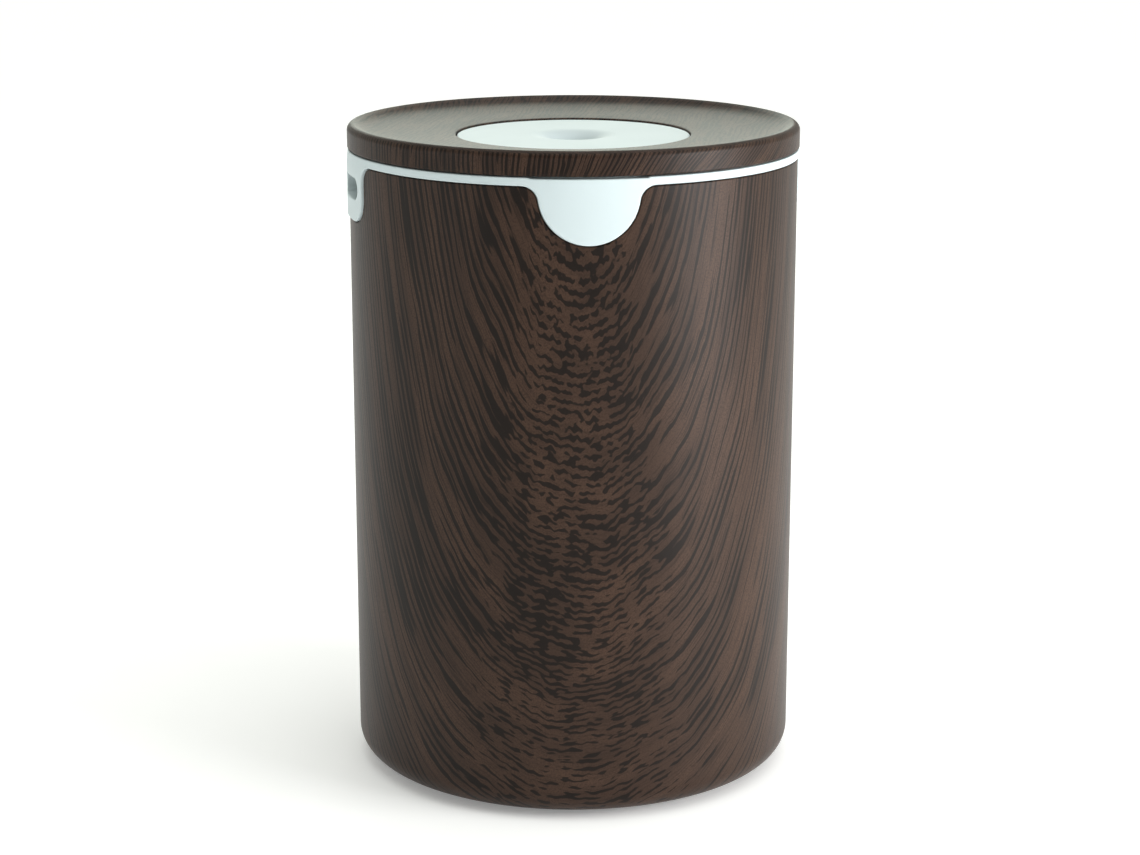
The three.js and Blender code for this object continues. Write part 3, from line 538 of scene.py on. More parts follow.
def linear(*srgb):
    """A colour given in 0-255 sRGB, as the linear RGBA that a shader takes."""
    channels = []
    for value in srgb:
        share = value / 255
        channels.append(share / 12.92 if share <= 0.04045 else ((share + 0.055) / 1.055) ** 2.4)
    return (*channels, 1.0)


class Graph:
    """A node material under construction. Its methods add nodes and return their output sockets."""

    def __init__(self, name, **settings):
        self.material = bpy.data.materials.new(name)
        self.material.use_nodes = True
        self.tree = self.material.node_tree
        self.tree.nodes.clear()
        self.shader = self.tree.nodes.new("ShaderNodeBsdfPrincipled")
        output = self.tree.nodes.new("ShaderNodeOutputMaterial")
        self.tree.links.new(self.shader.outputs["BSDF"], output.inputs["Surface"])
        for socket, value in settings.items():
            self.shader.inputs[socket].default_value = value

    def add(self, kind, inputs, output=0, **properties):
        """A node with its properties set and each input linked to a socket or set to a value."""
        node = self.tree.nodes.new(kind)
        for key, value in properties.items():
            setattr(node, key, value)
        for key, value in inputs.items():
            if isinstance(value, bpy.types.NodeSocket):
                self.tree.links.new(value, node.inputs[key])
            else:
                node.inputs[key].default_value = value
        return node.outputs[output]

    def position(self):
        """The piece's own x, y and z, in millimetres."""
        where = self.add("ShaderNodeTexCoord", {}, "Object")
        scaled = self.add("ShaderNodeVectorMath", {0: where, "Scale": 1 / MM}, operation="SCALE")
        split = self.tree.nodes.new("ShaderNodeSeparateXYZ")
        self.tree.links.new(scaled, split.inputs[0])
        return split.outputs[0], split.outputs[1], split.outputs[2]

    def maths(self, operation, *values):
        return self.add("ShaderNodeMath", dict(enumerate(values)), operation=operation)

    def distance(self, x, y):
        """The length of the vector x, y."""
        squares = self.maths("MULTIPLY_ADD", x, x, self.maths("MULTIPLY", y, y))
        return self.maths("SQRT", squares)

    def vector(self, x, y, z):
        return self.add("ShaderNodeCombineXYZ", {0: x, 1: y, 2: z})

    def noise(self, vector, scale=1.0, detail=2.0, roughness=0.5):
        inputs = {"Vector": vector, "Scale": scale, "Detail": detail, "Roughness": roughness}
        return self.add("ShaderNodeTexNoise", inputs, "Fac")

    def between(self, value, low, high):
        """0 below low, 1 above high, and a smooth step from one to the other."""
        inputs = {"Value": value, "From Min": low, "From Max": high}
        return self.add("ShaderNodeMapRange", inputs, interpolation_type="SMOOTHSTEP")

    def scaled(self, value, low, high):
        """0 to 1 stretched over low to high."""
        return self.add("ShaderNodeMapRange", {"Value": value, "To Min": low, "To Max": high})

    def mix(self, share, first, second):
        """The number first where share is 0, and second where it is 1."""
        return self.add("ShaderNodeMix", {0: share, 2: first, 3: second}, data_type="FLOAT")

    def blend(self, share, first, second):
        """The colour first where share is 0, and second where it is 1."""
        node = self.tree.nodes.new("ShaderNodeMix")
        node.data_type = "RGBA"
        for key, value in ((0, share), (6, first), (7, second)):
            if isinstance(value, bpy.types.NodeSocket):
                self.tree.links.new(value, node.inputs[key])
            else:
                node.inputs[key].default_value = value
        return node.outputs[2]

    def bump(self, height, strength, distance):
        """A normal bent by the height, which stands for distance millimetres."""
        inputs = {"Height": height, "Strength": strength, "Distance": distance * MM}
        return self.add("ShaderNodeBump", inputs)

    def finish(self, **sockets):
        """Links sockets to the shader's inputs and returns the material."""
        for name, socket in sockets.items():
            self.tree.links.new(socket, self.shader.inputs[name.replace("_", " ")])
        return self.material


WOOD_BASE = linear(57, 41, 32)
WOOD_LIGHT = linear(70, 51, 40)
WOOD_SHADE = linear(46, 32, 25)
WOOD_DARK = linear(10, 6, 4)
BARE_PLASTIC = linear(52, 40, 33)


def wood_grain(graph, across, along, side, density, seed):
    """Streak strength, 0 to 1, and the broad bands that the streaks gather in, 0 to 1.

    across and along are the grain's own coordinates, in millimetres.
    side goes from 0, where the streaks are short and wavy, to 1, where they are long and straight.
    density, about 0, is added to the share of the film that the streaks cover.
    """
    def layer(value, pitch, length, offset, detail=1.0):
        """Noise in spots of pitch by length. The offset keeps one layer unlike the next."""
        at = graph.vector(
            graph.maths("DIVIDE", value, pitch), graph.maths("DIVIDE", along, length), seed + offset
        )
        return graph.noise(at, detail=detail, roughness=0.55)

    def lines(value, pitch, strength):
        """Even lines, which make the noise's spots lie side by side."""
        turns = graph.maths("SINE", graph.maths("MULTIPLY", value, TURN / pitch))
        return graph.maths("MULTIPLY", turns, strength)

    drift = layer(across, pitch=30.0, length=30.0, offset=0.0)
    wave = layer(across, pitch=10.0, length=3.6, offset=10.0)
    drift_reach = 5.0
    wave_reach = graph.scaled(side, 1.0, 0.5)
    bent = graph.maths("MULTIPLY_ADD", drift, drift_reach, across)
    bent = graph.maths("MULTIPLY_ADD", wave, wave_reach, bent)

    short_spots = layer(bent, pitch=0.8, length=4.8, offset=20.0)
    short = graph.maths("ADD", short_spots, lines(bent, pitch=1.05, strength=0.10))
    long_spots = layer(bent, pitch=1.1, length=22.0, offset=30.0)
    long = graph.maths("ADD", long_spots, lines(bent, pitch=1.9, strength=0.12))
    body = graph.mix(side, short, long)

    bands = layer(bent, pitch=9.0, length=40.0, offset=40.0, detail=2.0)
    band_strength = 0.3
    pushed = graph.maths("MULTIPLY_ADD", graph.maths("SUBTRACT", bands, 0.5), band_strength, body)
    pushed = graph.maths("ADD", pushed, density)
    streaks = graph.between(pushed, 0.5, 0.55)

    hair = layer(bent, pitch=0.28, length=14.0, offset=50.0)
    hairs = graph.maths("MULTIPLY", graph.between(hair, 0.5, 0.62), graph.scaled(side, 0.25, 0.5))
    return graph.maths("MAXIMUM", streaks, hairs), bands


def wood_material(name, coordinates, seed, bare_inside=False):
    """The wood-look film. With bare_inside the inner side of the wall is plain brown plastic.

    coordinates gives wood_grain's across, along, side and density for a point of the piece.
    """
    graph = Graph(name, **{"Specular IOR Level": 0.17})
    x, y, z = graph.position()
    streaks, bands = wood_grain(graph, *coordinates(graph, x, y, z), seed)
    pebble = graph.noise(graph.vector(x, y, z), scale=1.6, detail=2, roughness=0.6)
    ground = graph.blend(graph.between(bands, 0.35, 0.62), WOOD_LIGHT, WOOD_BASE)
    mottled = graph.blend(graph.between(pebble, 0.35, 0.85), ground, WOOD_SHADE)
    strength = graph.maths("MULTIPLY", streaks, graph.scaled(pebble, 1.0, 0.72))
    colour = graph.blend(strength, mottled, WOOD_DARK)
    if bare_inside:
        wrapped = graph.between(graph.distance(x, y), SHELL_INNER + 0.8, SHELL_INNER + 1.4)
        under = graph.between(z, WALL_BOTTOM + 3, WALL_BOTTOM + 2)
        colour = graph.blend(graph.maths("MAXIMUM", wrapped, under), BARE_PLASTIC, colour)
    roughness = graph.maths("MULTIPLY_ADD", pebble, 0.10, 0.36)
    height = graph.maths("MULTIPLY_ADD", streaks, -0.6, pebble)
    return graph.finish(
        Base_Color=colour,
        Roughness=roughness,
        Normal=graph.bump(height, strength=0.25, distance=0.06),
    )


# The film's arches lie round a point above the shell's top edge, a little left of the front.
# They are drawn out from top to bottom, and less so further down.
ARCH_SHIFT = 3.5
ARCH_CENTRE_ABOVE_TOP = 43.0
ARCH_SQUEEZE = 0.2
ARCH_SQUEEZE_GROWTH = 0.0006
ARCH_RADIUS_FOR_LENGTH = 80.0


def wall_coordinates(graph, x, y, z):
    """Arches that open upwards over the front, fewer streaks low and at the sides, and to the right
    as painted sheen.
    """
    azimuth = graph.maths("ARCTAN2", x, graph.maths("MULTIPLY", y, -1.0))
    round_mm = graph.maths("MULTIPLY_ADD", azimuth, SHELL_RADIUS, ARCH_SHIFT)
    depth = graph.maths("SUBTRACT", SHELL_TOP, z)
    squeeze = graph.maths("MULTIPLY_ADD", depth, ARCH_SQUEEZE_GROWTH, ARCH_SQUEEZE)
    down = graph.maths("MULTIPLY_ADD", depth, squeeze, ARCH_CENTRE_ABOVE_TOP)
    across = graph.distance(round_mm, down)
    angle = graph.maths("ARCTAN2", round_mm, down)
    along = graph.maths("MULTIPLY", angle, ARCH_RADIUS_FOR_LENGTH)
    side = graph.between(graph.maths("ABSOLUTE", angle), 0.2, 0.5)
    low_down = graph.between(depth, 160.0, 225.0)
    # Painted sheen: fewer streaks to the right make the film lighter where the light from the right
    # falls.
    painted_sheen_right = graph.between(azimuth, -0.25, 0.45)
    thinner = graph.maths("MULTIPLY_ADD", low_down, 1.4, painted_sheen_right)
    thinner = graph.maths("MULTIPLY_ADD", side, 0.4, thinner)
    density = graph.maths("MULTIPLY_ADD", thinner, -0.04, 0.015)
    return across, along, side, density


def lid_coordinates(graph, x, y, z):
    """Fine streaks that cross the dish, and coarser ones on the skirt that lean over on its right."""
    drop = graph.maths("SUBTRACT", DISH_HIGH.z, z)
    turned = graph.maths("MULTIPLY_ADD", y, -0.22, graph.maths("MULTIPLY", x, 0.97))
    azimuth = graph.maths("ARCTAN2", x, graph.maths("MULTIPLY", y, -1.0))
    round_mm = graph.maths("MULTIPLY", azimuth, DISH_HIGH.x)
    on_skirt = graph.between(graph.distance(x, y), DISH_HIGH.x - 1.8, DISH_HIGH.x - 0.6)
    lean = graph.maths("MULTIPLY", graph.between(x, -45.0, 70.0), drop)
    across = graph.maths("MULTIPLY_ADD", lean, 1.3, graph.mix(on_skirt, turned, round_mm))
    along = graph.maths("MULTIPLY_ADD", drop, -1.0, graph.mix(on_skirt, y, 0.0))
    side = graph.scaled(on_skirt, 0.55, 1.0)
    density = 0.0
    return across, along, side, density


def plastic(name, colour, roughness, grain=0.5, bump=0.02, tint=0.93, **settings):
    """A moulded plastic: a fine even texture, and slight clouds in its colour and gloss.

    grain is the texture's size and bump its depth, in millimetres. tint is the clouds' share of the
    colour. A setting is named as the shader's input is, with _ for a space.
    """
    graph = Graph(name, **{key.replace("_", " "): value for key, value in settings.items()})
    x, y, z = graph.position()
    where = graph.vector(x, y, z)
    cloud = graph.noise(where, scale=0.045, detail=3)
    skin = graph.noise(where, scale=1 / grain, detail=1)
    darker = (*[channel * tint for channel in colour[:3]], 1.0)
    shade = graph.blend(graph.between(cloud, 0.35, 0.7), colour, darker)
    gloss = graph.maths("MULTIPLY_ADD", cloud, 0.08, roughness - 0.04)
    normal = graph.bump(skin, strength=0.2, distance=bump)
    return graph.finish(Base_Color=shade, Roughness=gloss, Normal=normal)


def metal(name, colour, roughness):
    """Drawn or turned metal with fine scratches round the vertical axis."""
    graph = Graph(name, Metallic=1.0)
    x, y, z = graph.position()
    squeezed_z = graph.maths("MULTIPLY", z, 9.0)
    scratches = graph.noise(graph.vector(x, y, squeezed_z), scale=0.9, detail=3)
    dull = (*[channel * 0.82 for channel in colour[:3]], 1.0)
    shade = graph.blend(graph.between(scratches, 0.35, 0.7), colour, dull)
    gloss = graph.maths("MULTIPLY_ADD", scratches, 0.16, roughness - 0.08)
    normal = graph.bump(scratches, strength=0.15, distance=0.02)
    return graph.finish(Base_Color=shade, Roughness=gloss, Normal=normal)


def circuit_board(name):
    """Green solder mask with copper tracks and pads showing through it."""
    graph = Graph(name, Roughness=0.35)
    x, y, z = graph.position()
    where = graph.vector(x, y, z)
    track_inputs = {"Vector": where, "Scale": 0.09, "Distortion": 3.0}
    tracks = graph.add("ShaderNodeTexWave", track_inputs, "Fac")
    pads = graph.add("ShaderNodeTexVoronoi", {"Vector": where, "Scale": 0.25}, "Distance")
    lit = graph.blend(graph.between(tracks, 0.55, 0.62), linear(26, 84, 54), linear(40, 112, 70))
    colour = graph.blend(graph.between(pads, 0.2, 0.16), lit, linear(190, 180, 150))
    return graph.finish(Base_Color=colour, Normal=graph.bump(tracks, strength=0.2, distance=0.03))


def winding(name):
    """Fine enamelled wire wound round the vertical axis, with painted shade between the turns and
    painted highlight on them.
    """
    graph = Graph(name, Metallic=1.0, Roughness=0.32)
    z = graph.position()[2]
    turns = graph.maths("SINE", graph.maths("MULTIPLY", z, 14.0))
    # Painted shade and highlight: the copper is darker between the turns and lighter on them.
    colour = graph.blend(graph.scaled(turns, 0.3, 1.0), linear(120, 62, 34), linear(196, 120, 76))
    return graph.finish(Base_Color=colour, Normal=graph.bump(turns, strength=0.5, distance=0.08))


def open_foam(name):
    """Reticulated filter foam: pale ribs, with the cells between them painted dark as the shade in
    their holes.
    """
    graph = Graph(name, Roughness=0.95)
    x, y, z = graph.position()
    where = graph.vector(x, y, z)
    cells = graph.add("ShaderNodeTexVoronoi", {"Vector": where, "Scale": 0.9}, "Distance")
    # Painted shade: the cells, which are holes into the foam, are dark; the ribs between them have
    # the foam's grey.
    colour = graph.blend(graph.between(cells, 0.1, 0.5), linear(16, 17, 18), linear(72, 76, 80))
    return graph.finish(Base_Color=colour, Normal=graph.bump(cells, strength=0.9, distance=0.5))


WOOD = wood_material("wenge_film", wall_coordinates, seed=3.0, bare_inside=True)
LID_WOOD = wood_material("wenge_film_lid", lid_coordinates, seed=7.0)
WHITE = plastic("white_plastic", linear(201, 214, 217), 0.48, tint=0.985)
CREAM = plastic("cream_plastic", linear(246, 248, 242), 0.5)
INNER_WHITE = plastic("inner_white_plastic", linear(222, 226, 224), 0.46)
BLACK = plastic("black_plastic", linear(38, 39, 41), 0.5, bump=0.05, tint=0.8)
RUBBER = plastic("foot_rubber", linear(46, 46, 48), 0.85, grain=0.3, bump=0.06, tint=0.8)
SILICONE = plastic("silicone", linear(232, 228, 216), 0.55, tint=0.9)
WIRE_GREY = plastic("wire_grey", linear(112, 115, 119), 0.55, tint=0.85)
WIRE_RED = plastic("wire_red", linear(158, 42, 38), 0.5, tint=0.85)
STEEL = metal("steel", linear(200, 202, 206), 0.3)
BRASS = metal("brass", linear(214, 180, 110), 0.28)
ALUMINIUM = metal("aluminium", linear(205, 208, 211), 0.4)
BOARD = circuit_board("circuit_board")
COPPER = winding("copper_winding")
FOAM = open_foam("filter_foam")

# Parts that keep their CAD shape. The screws are steel too, and are found by name.
NODE_LOOKS = {
    INNER_WHITE: ["base_deck", "duct_hood", "float_cap", "valve_cap"],
    WHITE: ["water_float", "valve_plunger"],
    BLACK: ["base_plate", "fan_housing", "fan_rotor", "tact_switch", "reed_switch"],
    SILICONE: ["transducer_seal", "chimney_seal", "cap_seal", "valve_seal"],
    FOAM: ["air_filter"],
    STEEL: ["fan_shaft", "float_magnet", "valve_spring"],
    BRASS: ["fan_bearing", "transducer_disc", "jack_pin"],
    ALUMINIUM: ["transducer_holder", "heat_sink"],
    BOARD: ["driver_board", "rear_board"],
    COPPER: ["fan_motor", "driver_coil"],
    WIRE_GREY: ["rear_board_lead", "fan_lead", "sensor_lead"],
    WIRE_RED: ["transducer_lead"],
}
for look, names in NODE_LOOKS.items():
    for name in names:
        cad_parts[name].data.materials.clear()
        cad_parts[name].data.materials.append(look)
for name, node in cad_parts.items():
    if "screw" in name:
        node.data.materials.clear()
        node.data.materials.append(STEEL)


# ---------------------------------------------------------------- shell

def build_shell():
    """The wood-look wall with its cut-outs for the tabs, its rounded bottom edge and the ledge."""
    bm = bmesh.new()
    window_low = JACK_Z - JACK_WINDOW_HALF_HEIGHT
    window_high = JACK_Z + JACK_WINDOW_HALF_HEIGHT
    holes = [
        round_hole(REAR, BUTTON_Z, BUTTON_HOLE),
        square_hole(REAR, JACK_WINDOW_HALF_WIDTH, window_low, window_high, JACK_WINDOW_FILLET),
    ]
    wrapped_plate(
        bm,
        lambda inset: level_line(WALL_BOTTOM),
        lambda inset: tab_line(-inset),
        holes,
        lambda point: SHELL_INNER,
        lambda point: SHELL_RADIUS,
        open_bottom=True,
    )
    foot = [
        *arc(SHELL_RADIUS - BOTTOM_FILLET, WALL_BOTTOM, BOTTOM_FILLET, 0, -90, 12),
        (PLATE_HOLE, SHELL_BOTTOM),
        (PLATE_HOLE, LIP_LOW),
        (LIP_RADIUS, LIP_LOW),
        (LIP_RADIUS, LIP_HIGH),
        (SHELL_INNER - BOTTOM_CHAMFER, LIP_HIGH),
        (SHELL_INNER, WALL_BOTTOM),
    ]
    lathe(bm, foot, closed=False, first=SEAM)
    inside_the_wall = SHELL_INNER + 1
    ledge = rounded([
        (inside_the_wall, LEDGE_TOP, 0),
        (LEDGE_RADIUS, LEDGE_TOP, EDGE),
        (LEDGE_RADIUS, LEDGE_TOP - WALL, EDGE),
        (inside_the_wall, LEDGE_TOP - LEDGE_ROOT, 0),
    ])
    lathe(bm, ledge)
    make_piece("shell", bm, "base", ["outer_shell"], WOOD)


# ---------------------------------------------------------------- tank

def ease(share):
    """A smooth step from 0 to 1 as the share goes from 0 to 1."""
    share = min(1.0, max(0.0, share))
    return share * share * (3 - 2 * share)


def rim_radius(point):
    """The side tabs stand a little proud of the rim's band."""
    centre, x, z = point
    azimuth = centre + math.asin(x / RIM_RADIUS)
    away = math.degrees(min(abs(azimuth - LEFT), abs(azimuth - RIGHT)))
    outer_end, run = 19, 5
    lip, slope = 1, 3
    share = ease((outer_end - away) / run) * ease((RIM_TOP - lip - z) / slope)
    return RIM_RADIUS + SIDE_TAB_PROUD * share


def build_rim():
    """The white band under the lid with its three tabs, in one piece."""
    bm = bmesh.new()
    holes = [long_hole(side, SLOT_Z, SLOT_HALF_LENGTH, SLOT_RADIUS) for side in (LEFT, RIGHT)]
    wrapped_plate(
        bm,
        lambda inset: tab_line(GAP + inset),
        rim_top_line,
        holes,
        lambda point: RIM_INNER,
        rim_radius,
    )
    nodes = ["tank_rim", "left_grip", "right_grip"]
    make_piece("rim_and_tabs", bm, "tank", nodes, WHITE)


def build_tank():
    """The tank's wall and floor, with a window for each cup and a bore for the chimney."""
    bm = bmesh.new()
    reach = CUP_WALL + GAP
    window_fillet = 4
    holes = [
        square_hole(side, CUP_HALF + reach, CUP_BOTTOM - reach, CUP_TOP + reach, window_fillet)
        for side in (LEFT, RIGHT)
    ]
    wall_bottom = TANK_BOTTOM + TANK_FILLET
    inner_fillet = wall_bottom - TANK_FLOOR
    wrapped_plate(
        bm,
        lambda inset: level_line(wall_bottom),
        lambda inset: level_line(RIM_TOP - inset),
        holes,
        lambda point: TANK_INNER,
        lambda point: TANK_RADIUS,
        open_bottom=True,
    )
    floor = [
        *arc(TANK_RADIUS - TANK_FILLET, wall_bottom, TANK_FILLET, 0, -90, 8),
        (TANK_BORE, TANK_BOTTOM),
        (TANK_BORE, TANK_FLOOR),
        *arc(TANK_INNER - inner_fillet, wall_bottom, inner_fillet, -90, 0, 6),
    ]
    lathe(bm, floor, closed=False, first=SEAM)
    make_piece("tank", bm, "tank", ["tank_body"], WHITE)


def build_cup(side, name):
    """An open box with rounded corners, its mouth on the tank's wall."""
    bm = bmesh.new()
    turn = Matrix.Rotation(side, 4, "Z")
    mouth = TANK_RADIUS - GAP

    def outline(out, fillet):
        """The cup's outline, drawn out, with points close enough to follow the round wall."""
        half, low, high = CUP_HALF + out, CUP_BOTTOM - out, CUP_TOP + out
        corners = [(-half, low), (half, low), (half, high), (-half, high)]
        points = rounded([(x, z, fillet) for x, z in corners], 5)
        filled = []
        for a, b in zip(points, points[1:] + points[:1]):
            is_long_side = abs(a[0] - b[0]) > CUP_HALF
            filled += [a, *line(a, b, 12 if is_long_side else 1)]
        return filled

    def ring(out, fillet, y):
        """One loop of the cup at depth y, or at its mouth where y is None."""
        points = []
        for x, z in outline(out, fillet):
            depth = -math.sqrt(mouth ** 2 - x ** 2) if y is None else -y
            points.append(turn @ (Vector((x, depth, z)) * MM))
        return add_loop(bm, points)

    outer_fillet = CUP_FILLET + 1
    rings = [ring(CUP_WALL, outer_fillet, None), ring(0, CUP_FILLET, None)]
    steps = 6
    for i in range(steps + 1):
        angle = TURN / 4 * i / steps
        shrink = CUP_END_FILLET * (1 - math.cos(angle))
        depth = CUP_DEPTH + CUP_END_FILLET * (1 - math.sin(angle))
        rings.append(ring(-shrink, CUP_FILLET - shrink * 0.8, depth))
    bridge(bm, rings)
    bm.faces.new(rings[-1])
    back = ring(CUP_WALL, outer_fillet, CUP_DEPTH - CUP_WALL)
    bridge(bm, [rings[0], back])
    bm.faces.new(back)
    make_piece(f"{name}_cup", bm, "tank", [f"{name}_finger_cup"], CREAM)


build_shell()
build_rim()
build_tank()
build_cup(LEFT, "left")
build_cup(RIGHT, "right")

build_lathe("chimney", "tank", "mist_chimney", [
    (CHIMNEY_INNER, CHIMNEY_LOW.z, EDGE),
    (CHIMNEY_OUTER, CHIMNEY_LOW.z, EDGE),
    (CHIMNEY_OUTER, COLLAR_TOP - COLLAR_HEIGHT, 0),
    (COLLAR_RADIUS, COLLAR_TOP - COLLAR_HEIGHT, EDGE),
    (COLLAR_RADIUS, COLLAR_TOP, 0),
    (CHIMNEY_OUTER, COLLAR_TOP, 0),
    (CHIMNEY_OUTER, CHIMNEY_HIGH.z, CHIMNEY_LIP),
    (CHIMNEY_INNER, CHIMNEY_HIGH.z, CHIMNEY_LIP),
], WHITE)
build_lathe("clamp_nut", "tank", "chimney_nut", [
    (NUT_INNER, NUT_LOW.z, EDGE),
    (NUT_HIGH.x, NUT_LOW.z, EDGE),
    (NUT_HIGH.x, NUT_HIGH.z, 1),
    (NUT_INNER, NUT_HIGH.z, 1),
], WHITE)


# ---------------------------------------------------------------- lid

def build_dish():
    """The wood-look lid: a shallow dish with a mouth for the insert and a low skirt."""
    bm = bmesh.new()
    radius, top = DISH_HIGH.x, DISH_HIGH.z
    chamfer = 0.4
    profile = [
        (radius - chamfer, DISH_LOW.z),
        (radius, DISH_LOW.z + chamfer),
        *arc(radius - DISH_CORNER, top - DISH_CORNER, DISH_CORNER, 0, 90, 10)[:-1],
        *smooth([(radius - DISH_CORNER, top), *DISH_SLOPE], 6),
        *DISH_EDGE,
        *DISH_UNDERSIDE,
    ]
    lathe(bm, profile)
    make_piece("dish", bm, "lid", ["lid_dish"], LID_WOOD)


def build_insert():
    """The white disc in the lid, with the crater in its middle and the mist pipe under it."""
    bm = bmesh.new()
    radius, top = INSERT_HIGH.x, INSERT_HIGH.z
    fillet = 0.6
    profile = [
        (radius, INSERT_SEAT),
        *arc(radius - fillet, top - fillet, fillet, 0, 90, 6),
        (radius - 2, top),
        (CRATER_START, top),
        *smooth([(r, top - depth) for r, depth in CRATER], 6),
        (PIPE_BORE, INSERT_LOW.z),
        (PIPE_OUTER, INSERT_LOW.z),
        *PIPE_FLARE,
    ]
    lathe(bm, profile)
    make_piece("mist_insert", bm, "nozzle", ["nozzle_insert"], WHITE)


build_dish()
build_insert()
build_lathe("liner", "lid", "lid_liner", [
    (LINER_BORE, LINER_HIGH.z, EDGE),
    (LINER_HIGH.x, LINER_HIGH.z, EDGE),
    (LINER_HIGH.x, RIM_TOP + GAP, EDGE),
    (LINER_SKIRT_OUTER, RIM_TOP + GAP, EDGE),
    (LINER_SKIRT_OUTER, LINER_LOW.z, EDGE),
    (LINER_SKIRT_INNER, LINER_LOW.z, EDGE),
    (LINER_SKIRT_INNER, LINER_UNDERSIDE, EDGE),
    (LINER_BORE, LINER_UNDERSIDE, EDGE),
], INNER_WHITE)


# ---------------------------------------------------------------- feet, button and jack

for i in range(1, 5):
    low, high = box_mm(f"foot_{i}")
    middle = (low + high) / 2
    build_lathe(f"rubber_foot_{i}", "base", f"foot_{i}", [
        (AXIS, 0, 0),
        (FOOT_RADIUS, 0, FOOT_FILLET),
        (FOOT_RADIUS, high.z, EDGE),
        (AXIS, high.z, 0),
    ], RUBBER, (middle.x, middle.y))


def build_button():
    """Turned about Z, then laid over so that its domed face looks to the rear."""
    bm = bmesh.new()
    low, high = box_mm("power_button")
    profile = [
        (AXIS, low.y),
        (BUTTON_STEM, low.y),
        (BUTTON_STEM, FLANGE_BACK),
        (FLANGE_RADIUS, FLANGE_BACK),
        (FLANGE_RADIUS, FLANGE_FACE),
        (BUTTON_RADIUS, FLANGE_FACE),
        *smooth([(r, high.y - depth) for r, depth in BUTTON_DOME], 5),
    ]
    lathe(bm, profile, columns=96)
    turn = Matrix.Translation((0, 0, BUTTON_Z * MM)) @ Matrix.Rotation(-TURN / 4, 4, "X")
    bmesh.ops.transform(bm, matrix=turn, verts=bm.verts)
    make_piece("push_button", bm, "power_button", ["power_button"], WHITE)


def build_jack():
    """The socket block with rounded edges and its round bore, on the rear."""
    bm = bmesh.new()
    low, high = box_mm("dc_jack")
    half, middle = high.x, (low.z + high.z) / 2
    face = high.y
    per_corner = 16

    def square(inset, y):
        """One loop round the block."""
        h, v = half - inset, (high.z - low.z) / 2 - inset
        corners = [(-h, -v), (h, -v), (h, v), (-h, v)]
        outline = rounded([(x, z, JACK_FILLET) for x, z in corners], per_corner - 1)
        return add_loop(bm, [Vector((x, y, middle + z)) * MM for x, z in outline])

    def circle(radius, y):
        """One loop round the bore, each of its points facing one of square's."""
        points = []
        for i in range(4 * per_corner):
            corner, step = divmod(i, per_corner)
            turned = (step - (per_corner - 1) / 2) / per_corner
            angle = math.radians(-135 + 90 * corner + 90 * turned)
            x, z = radius * math.cos(angle), middle + radius * math.sin(angle)
            points.append(Vector((x, y, z)) * MM)
        return add_loop(bm, points)

    rings = [
        square(0, low.y),
        square(0, face - 0.4),
        square(0.12, face - 0.12),
        square(0.4, face),
        circle(SOCKET_RADIUS + 0.5, face),
        circle(SOCKET_RADIUS + 0.15, face - 0.15),
        circle(SOCKET_RADIUS, face - 0.5),
        circle(SOCKET_RADIUS, SOCKET_FLOOR),
        circle(PIN_HOLE_RADIUS, SOCKET_FLOOR),
        circle(PIN_HOLE_RADIUS, PIN_HOLE_FLOOR),
    ]
    bridge(bm, rings)
    bm.faces.new(rings[0])
    bm.faces.new(rings[-1])
    make_piece("power_jack", bm, "base", ["dc_jack"], BLACK)


build_button()
build_jack()


# ---------------------------------------------------------------- stage, in metres

def build_floor():
    """A sheet of white paper that glows a little, so that it is white even far from the lights."""
    mesh = bpy.data.meshes.new("floor")
    half = 6.0
    corners = [(-half, -half, 0), (half, -half, 0), (half, half, 0), (-half, half, 0)]
    mesh.from_pydata(corners, [], [(0, 1, 2, 3)])
    floor = bpy.data.objects.new("floor", mesh)
    bpy.context.scene.collection.objects.link(floor)
    paper = plastic("floor_paper", linear(250, 250, 250), 0.9, tint=0.99, Emission_Strength=0.2)
    mesh.materials.append(paper)


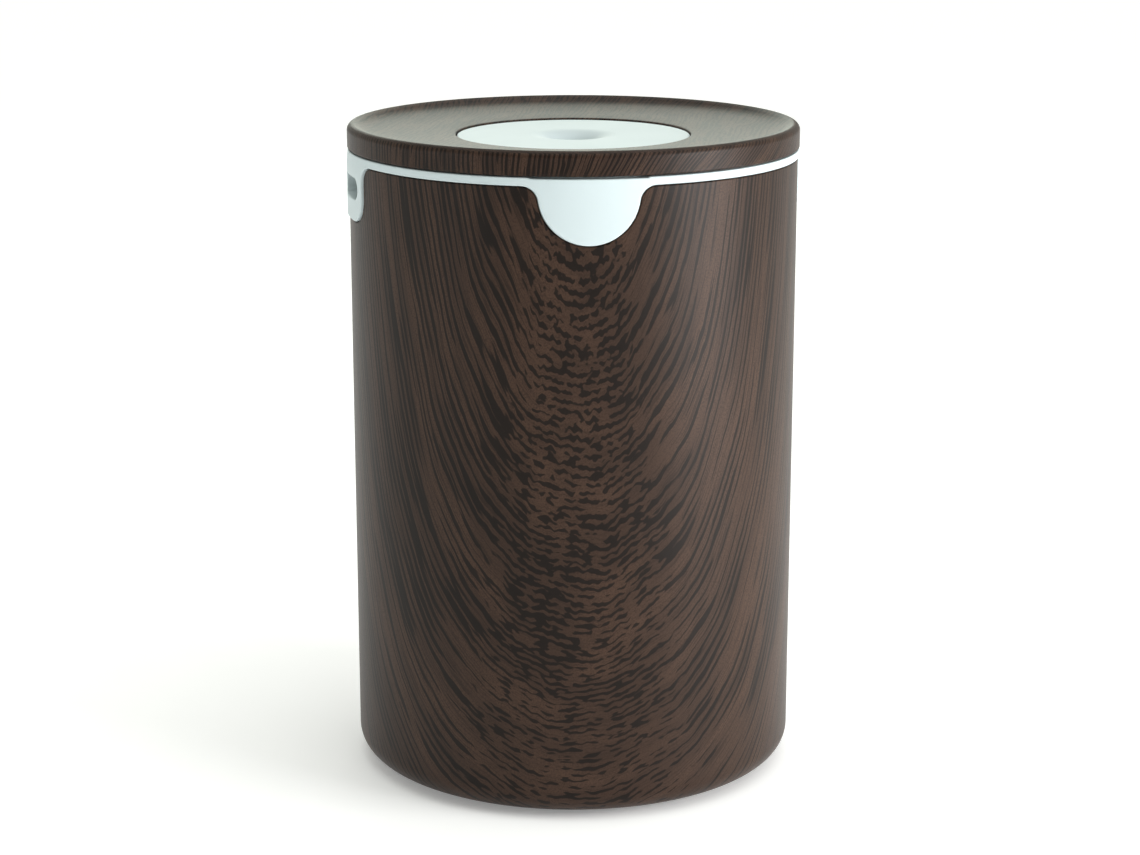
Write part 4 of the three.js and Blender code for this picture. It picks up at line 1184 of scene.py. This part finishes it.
def build_world():
    """Dim light before the object and brighter light over and behind it. The camera sees it white."""
    world = bpy.data.worlds.new("studio")
    world.use_nodes = True
    tree = world.node_tree
    background = tree.nodes["Background"]
    background.inputs["Color"].default_value = (0.97, 1.0, 0.92, 1.0)

    where = tree.nodes.new("ShaderNodeTexCoord")
    split = tree.nodes.new("ShaderNodeSeparateXYZ")
    up_and_back = tree.nodes.new("ShaderNodeMath")
    up_and_back.operation = "MULTIPLY_ADD"
    up_and_back.inputs[1].default_value = 0.8
    ramp = tree.nodes.new("ShaderNodeMapRange")
    ramp.interpolation_type = "SMOOTHSTEP"
    for key, value in {"From Min": -0.6, "From Max": 0.6, "To Min": 0.07, "To Max": 0.6}.items():
        ramp.inputs[key].default_value = value
    tree.links.new(where.outputs["Generated"], split.inputs[0])
    tree.links.new(split.outputs["Y"], up_and_back.inputs[0])
    tree.links.new(split.outputs["Z"], up_and_back.inputs[2])
    tree.links.new(up_and_back.outputs[0], ramp.inputs["Value"])

    seen = tree.nodes.new("ShaderNodeLightPath")
    backdrop = tree.nodes.new("ShaderNodeMath")
    backdrop.operation = "MAXIMUM"
    tree.links.new(ramp.outputs["Result"], backdrop.inputs[0])
    tree.links.new(seen.outputs["Is Camera Ray"], backdrop.inputs[1])
    tree.links.new(backdrop.outputs[0], background.inputs["Strength"])
    bpy.context.scene.world = world


def area_light(name, location, size, power, colour=(1, 1, 1)):
    """A soft square light that looks at the middle of the object, with its power in watts."""
    data = bpy.data.lights.new(name, "AREA")
    data.size = size
    data.energy = power
    data.color = colour
    light = bpy.data.objects.new(name, data)
    bpy.context.scene.collection.objects.link(light)
    light.location = location
    aim = Vector((0, 0, SHELL_TOP * MM / 2)) - Vector(location)
    light.rotation_euler = aim.to_track_quat("-Z", "Y").to_euler()


def sky_light(strength):
    """A very wide sun above and a little to the right, which whitens the floor to its edge."""
    width, tilt = 80, 15
    data = bpy.data.lights.new("sky", "SUN")
    data.energy = strength
    data.angle = math.radians(width)
    light = bpy.data.objects.new("sky", data)
    light.rotation_euler = (0, math.radians(tilt), 0)
    bpy.context.scene.collection.objects.link(light)


def build_camera():
    """The camera stands a little left of the front and looks down at the object."""
    distance, height = 0.9746, 0.37385
    swing, look_down, look_aside = math.radians(-3.85), math.radians(14.04), math.radians(0.075)
    data = bpy.data.cameras.new("camera")
    data.sensor_width = 36
    data.lens = 80.95
    camera = bpy.data.objects.new("camera", data)
    bpy.context.scene.collection.objects.link(camera)
    camera.location = (distance * math.sin(swing), -distance * math.cos(swing), height)
    camera.rotation_euler = (TURN / 4 - look_down, 0, swing + look_aside)
    bpy.context.scene.camera = camera


build_floor()
build_world()
sky_light(1.15)
area_light("key", (0.5, -1.1, 0.9), size=0.8, power=0.4)
area_light("left", (-1.2, -0.55, 0.4), size=0.6, power=1.7)
area_light("low_right", (0.97, -0.52, 0.28), size=0.64, power=14)
area_light("back", (0.0, 1.7, 0.58), size=0.75, power=4, colour=(0.92, 1.0, 0.88))
build_camera()
bpy.context.scene.view_settings.view_transform = "Standard"
